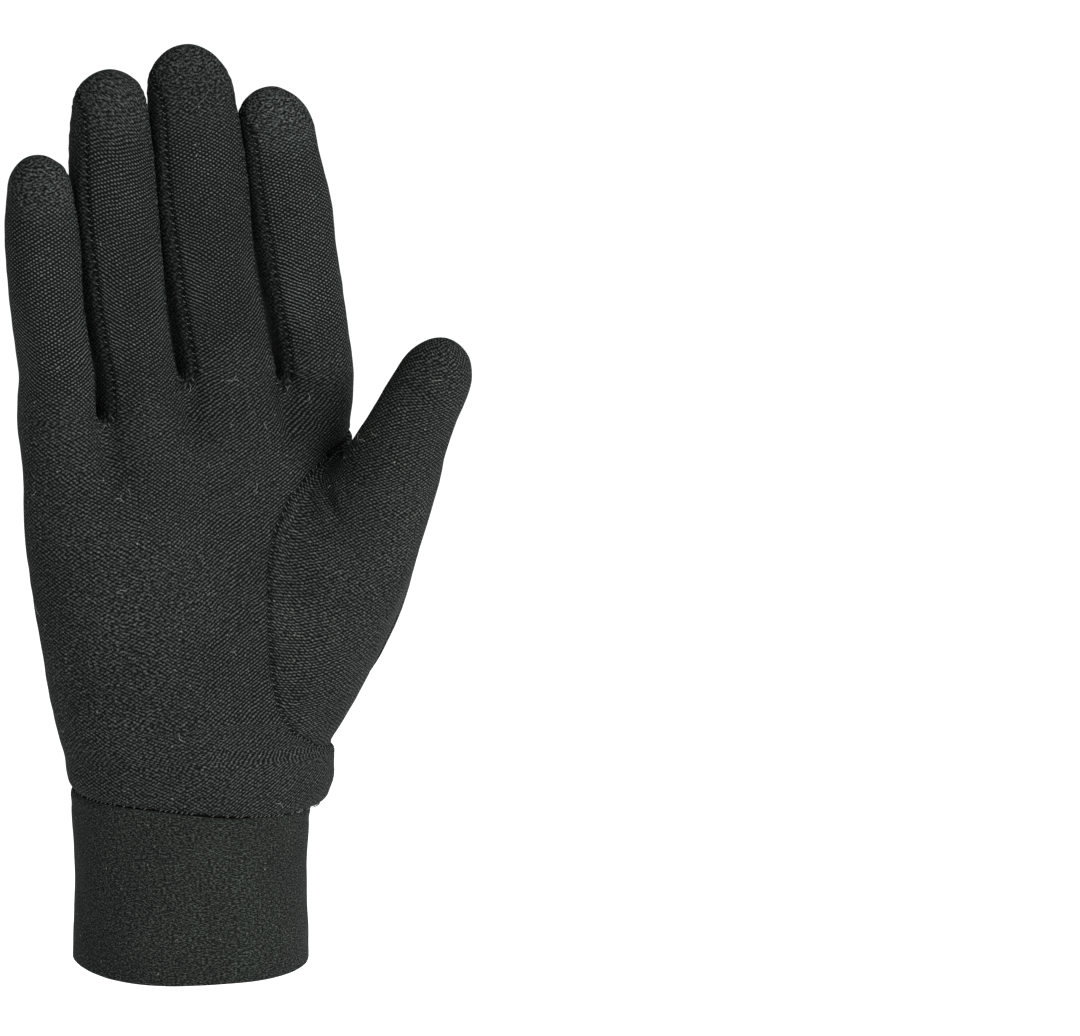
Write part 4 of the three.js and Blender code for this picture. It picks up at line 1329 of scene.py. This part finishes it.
# Thin curved fibres on the cloth, some at the named spots and the rest anywhere on the hand
def makeLint():
    rng = np.random.default_rng(lint["seed"])
    onHand = np.unique(np.concatenate([frontGrid["ids"].ravel(), backGrid["ids"].ravel(), ringIds.ravel()]))
    spots = np.array(lint["spots"], float)
    nearest = [onHand[np.argmin(np.linalg.norm(skinPoints[onHand] - spot, axis=1))] for spot in spots]
    chosen = np.concatenate([nearest, rng.choice(onHand, lint["count"] - len(nearest), replace=False)])
    normal = baseNormals[chosen]
    ahead = unit(np.cross(normal, rng.normal(size=(len(chosen), 3))))
    aside = np.cross(normal, ahead)
    length = rng.uniform(lint["short"], lint["long"], len(chosen))[:, None, None]
    bend = rng.uniform(-0.45, 0.45, len(chosen))[:, None, None]
    t = np.linspace(0, 1, lint["rings"])[None, :, None]
    paths = (
        shapedPoints[chosen][:, None] + ahead[:, None] * (t - 0.5) * length
        + aside[:, None] * np.sin(math.pi * t) * bend * length
        + normal[:, None] * (0.08 + 0.3 * np.sin(math.pi * t))
    )
    widths = lint["thick"] * np.array([0.5, 0.9, 1, 1, 1, 0.9, 0.5])
    return tubes("lint", paths, normal, widths, lint["sides"])


def plainThread(name, colour):
    material = bpy.data.materials.new(name)
    material.use_nodes = True
    shader = material.node_tree.nodes["Principled BSDF"]
    shader.inputs["Base Color"].default_value = (*colour, 1)
    shader.inputs["Roughness"].default_value = 0.85
    shader.inputs["Specular IOR Level"].default_value = 0.1
    return material


hemLoop = np.concatenate([frontGrid["ids"][0], backGrid["ids"][0, ::-1][1:]])
stitchThread = plainThread("stitchThread", stitchLook["colour"])
lintThread = plainThread("lintThread", lint["colour"])
fingerStitch, thumbStitch, cuffStitch = stitchLook["sets"]
fingerLines = [seam["line"] for seam in seams[:-1]]
trims = [
    (makeStitches("fingerStitches", fingerLines, fingerStitch), stitchThread, "hand_knit"),
    (makeStitches("thumbStitches", [seams[-1]["line"]], thumbStitch), stitchThread, "thumb_knit"),
    (makeStitches("cuffStitches", [hemLoop], cuffStitch), stitchThread, "cuff_knit"),
    (makeLint(), lintThread, "hand_knit"),
]
for piece, material, slot in trims:
    piece.data.materials.append(material)
    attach(piece, "root")
print("stitches and lint made")


# Stage, light and camera

stage = {"floor": -0.28, "size": 120, "tone": 0.9, "glow": 0.75, "world": 0.4}
edge = stage["size"] / 2
floorCorners = [(x * edge, y * edge, stage["floor"]) for x, y in ((-1, -1), (1, -1), (1, 1), (-1, 1))]
floorMesh = bpy.data.meshes.new("floor")
floorMesh.from_pydata(floorCorners, [], [(0, 1, 2, 3)])
floor = bpy.data.objects.new("floor", floorMesh)
bpy.context.collection.objects.link(floor)
floorLook = bpy.data.materials.new("paleFloor")
floorLook.use_nodes = True
floorShader = floorLook.node_tree.nodes["Principled BSDF"]
floorShader.inputs["Base Color"].default_value = (stage["tone"], stage["tone"], stage["tone"], 1)
floorShader.inputs["Roughness"].default_value = 0.9
floorShader.inputs["Specular IOR Level"].default_value = 0.1
floorShader.inputs["Emission Color"].default_value = (1, 1, 1, 1)
floorShader.inputs["Emission Strength"].default_value = stage["glow"]
floorMesh.materials.append(floorLook)

world = bpy.data.worlds.new("studio")
bpy.context.scene.world = world
world.use_nodes = True
world.node_tree.nodes["Background"].inputs["Color"].default_value = (1, 1, 1, 1)
world.node_tree.nodes["Background"].inputs["Strength"].default_value = stage["world"]

softboxes = [
    {"name": "keyLight", "place": (0.55, -1.25, 0.85), "power": 52, "size": 0.8},
    {"name": "fillLight", "place": (-1.0, -1.0, 0.5), "power": 12, "size": 1.0},
]
aimPoint = Vector((0, 0, 0.115))
for box in softboxes:
    light = bpy.data.lights.new(box["name"], "AREA")
    light.energy = box["power"]
    light.size = box["size"]
    lamp = bpy.data.objects.new(box["name"], light)
    lamp.location = box["place"]
    lamp.rotation_euler = (aimPoint - Vector(box["place"])).to_track_quat("-Z", "Y").to_euler()
    bpy.context.collection.objects.link(lamp)

# The camera stands 0.9 m from the palm and is turned so that the glove lies in the left half of the frame
view = {
    "place": (-0.36104, -0.81092, 0.26654),
    "lens": 120,
    "sensor": 36,
    "anchor": (0, 0, 0.118),
    "anchorPixel": (190.5, 501),
    "frame": (1080, 1036),
    "roll": math.radians(0.8),
    "steps": 60,
}


# Turns the camera by small steps until the anchor point falls on its pixel
def aimCamera():
    place = np.array(view["place"])
    anchor = np.array(view["anchor"])
    aim = anchor.copy()
    focal = view["lens"] / view["sensor"] * view["frame"][0]
    for _ in range(view["steps"]):
        forward = unit(aim - place)
        right = unit(np.cross(forward, up))
        over = np.cross(right, forward)
        c, s = math.cos(view["roll"]), math.sin(view["roll"])
        right, over = right * c + over * s, over * c - right * s
        away = anchor - place
        pixel = (view["frame"][0] / 2 + focal * (away @ right) / (away @ forward),
                 view["frame"][1] / 2 - focal * (away @ over) / (away @ forward))
        step = np.linalg.norm(away) / focal
        aim = aim + right * (pixel[0] - view["anchorPixel"][0]) * step
        aim = aim - over * (pixel[1] - view["anchorPixel"][1]) * step
    return Matrix((
        (right[0], over[0], -forward[0], place[0]),
        (right[1], over[1], -forward[1], place[1]),
        (right[2], over[2], -forward[2], place[2]),
        (0, 0, 0, 1),
    ))


cameraData = bpy.data.cameras.new("camera")
cameraData.lens = view["lens"]
cameraData.sensor_width = view["sensor"]
cameraData.clip_start = 0.01
camera = bpy.data.objects.new("camera", cameraData)
camera.matrix_world = aimCamera()
bpy.context.collection.objects.link(camera)
bpy.context.scene.camera = camera
bpy.context.scene.view_settings.view_transform = "Standard"
print("stage set")
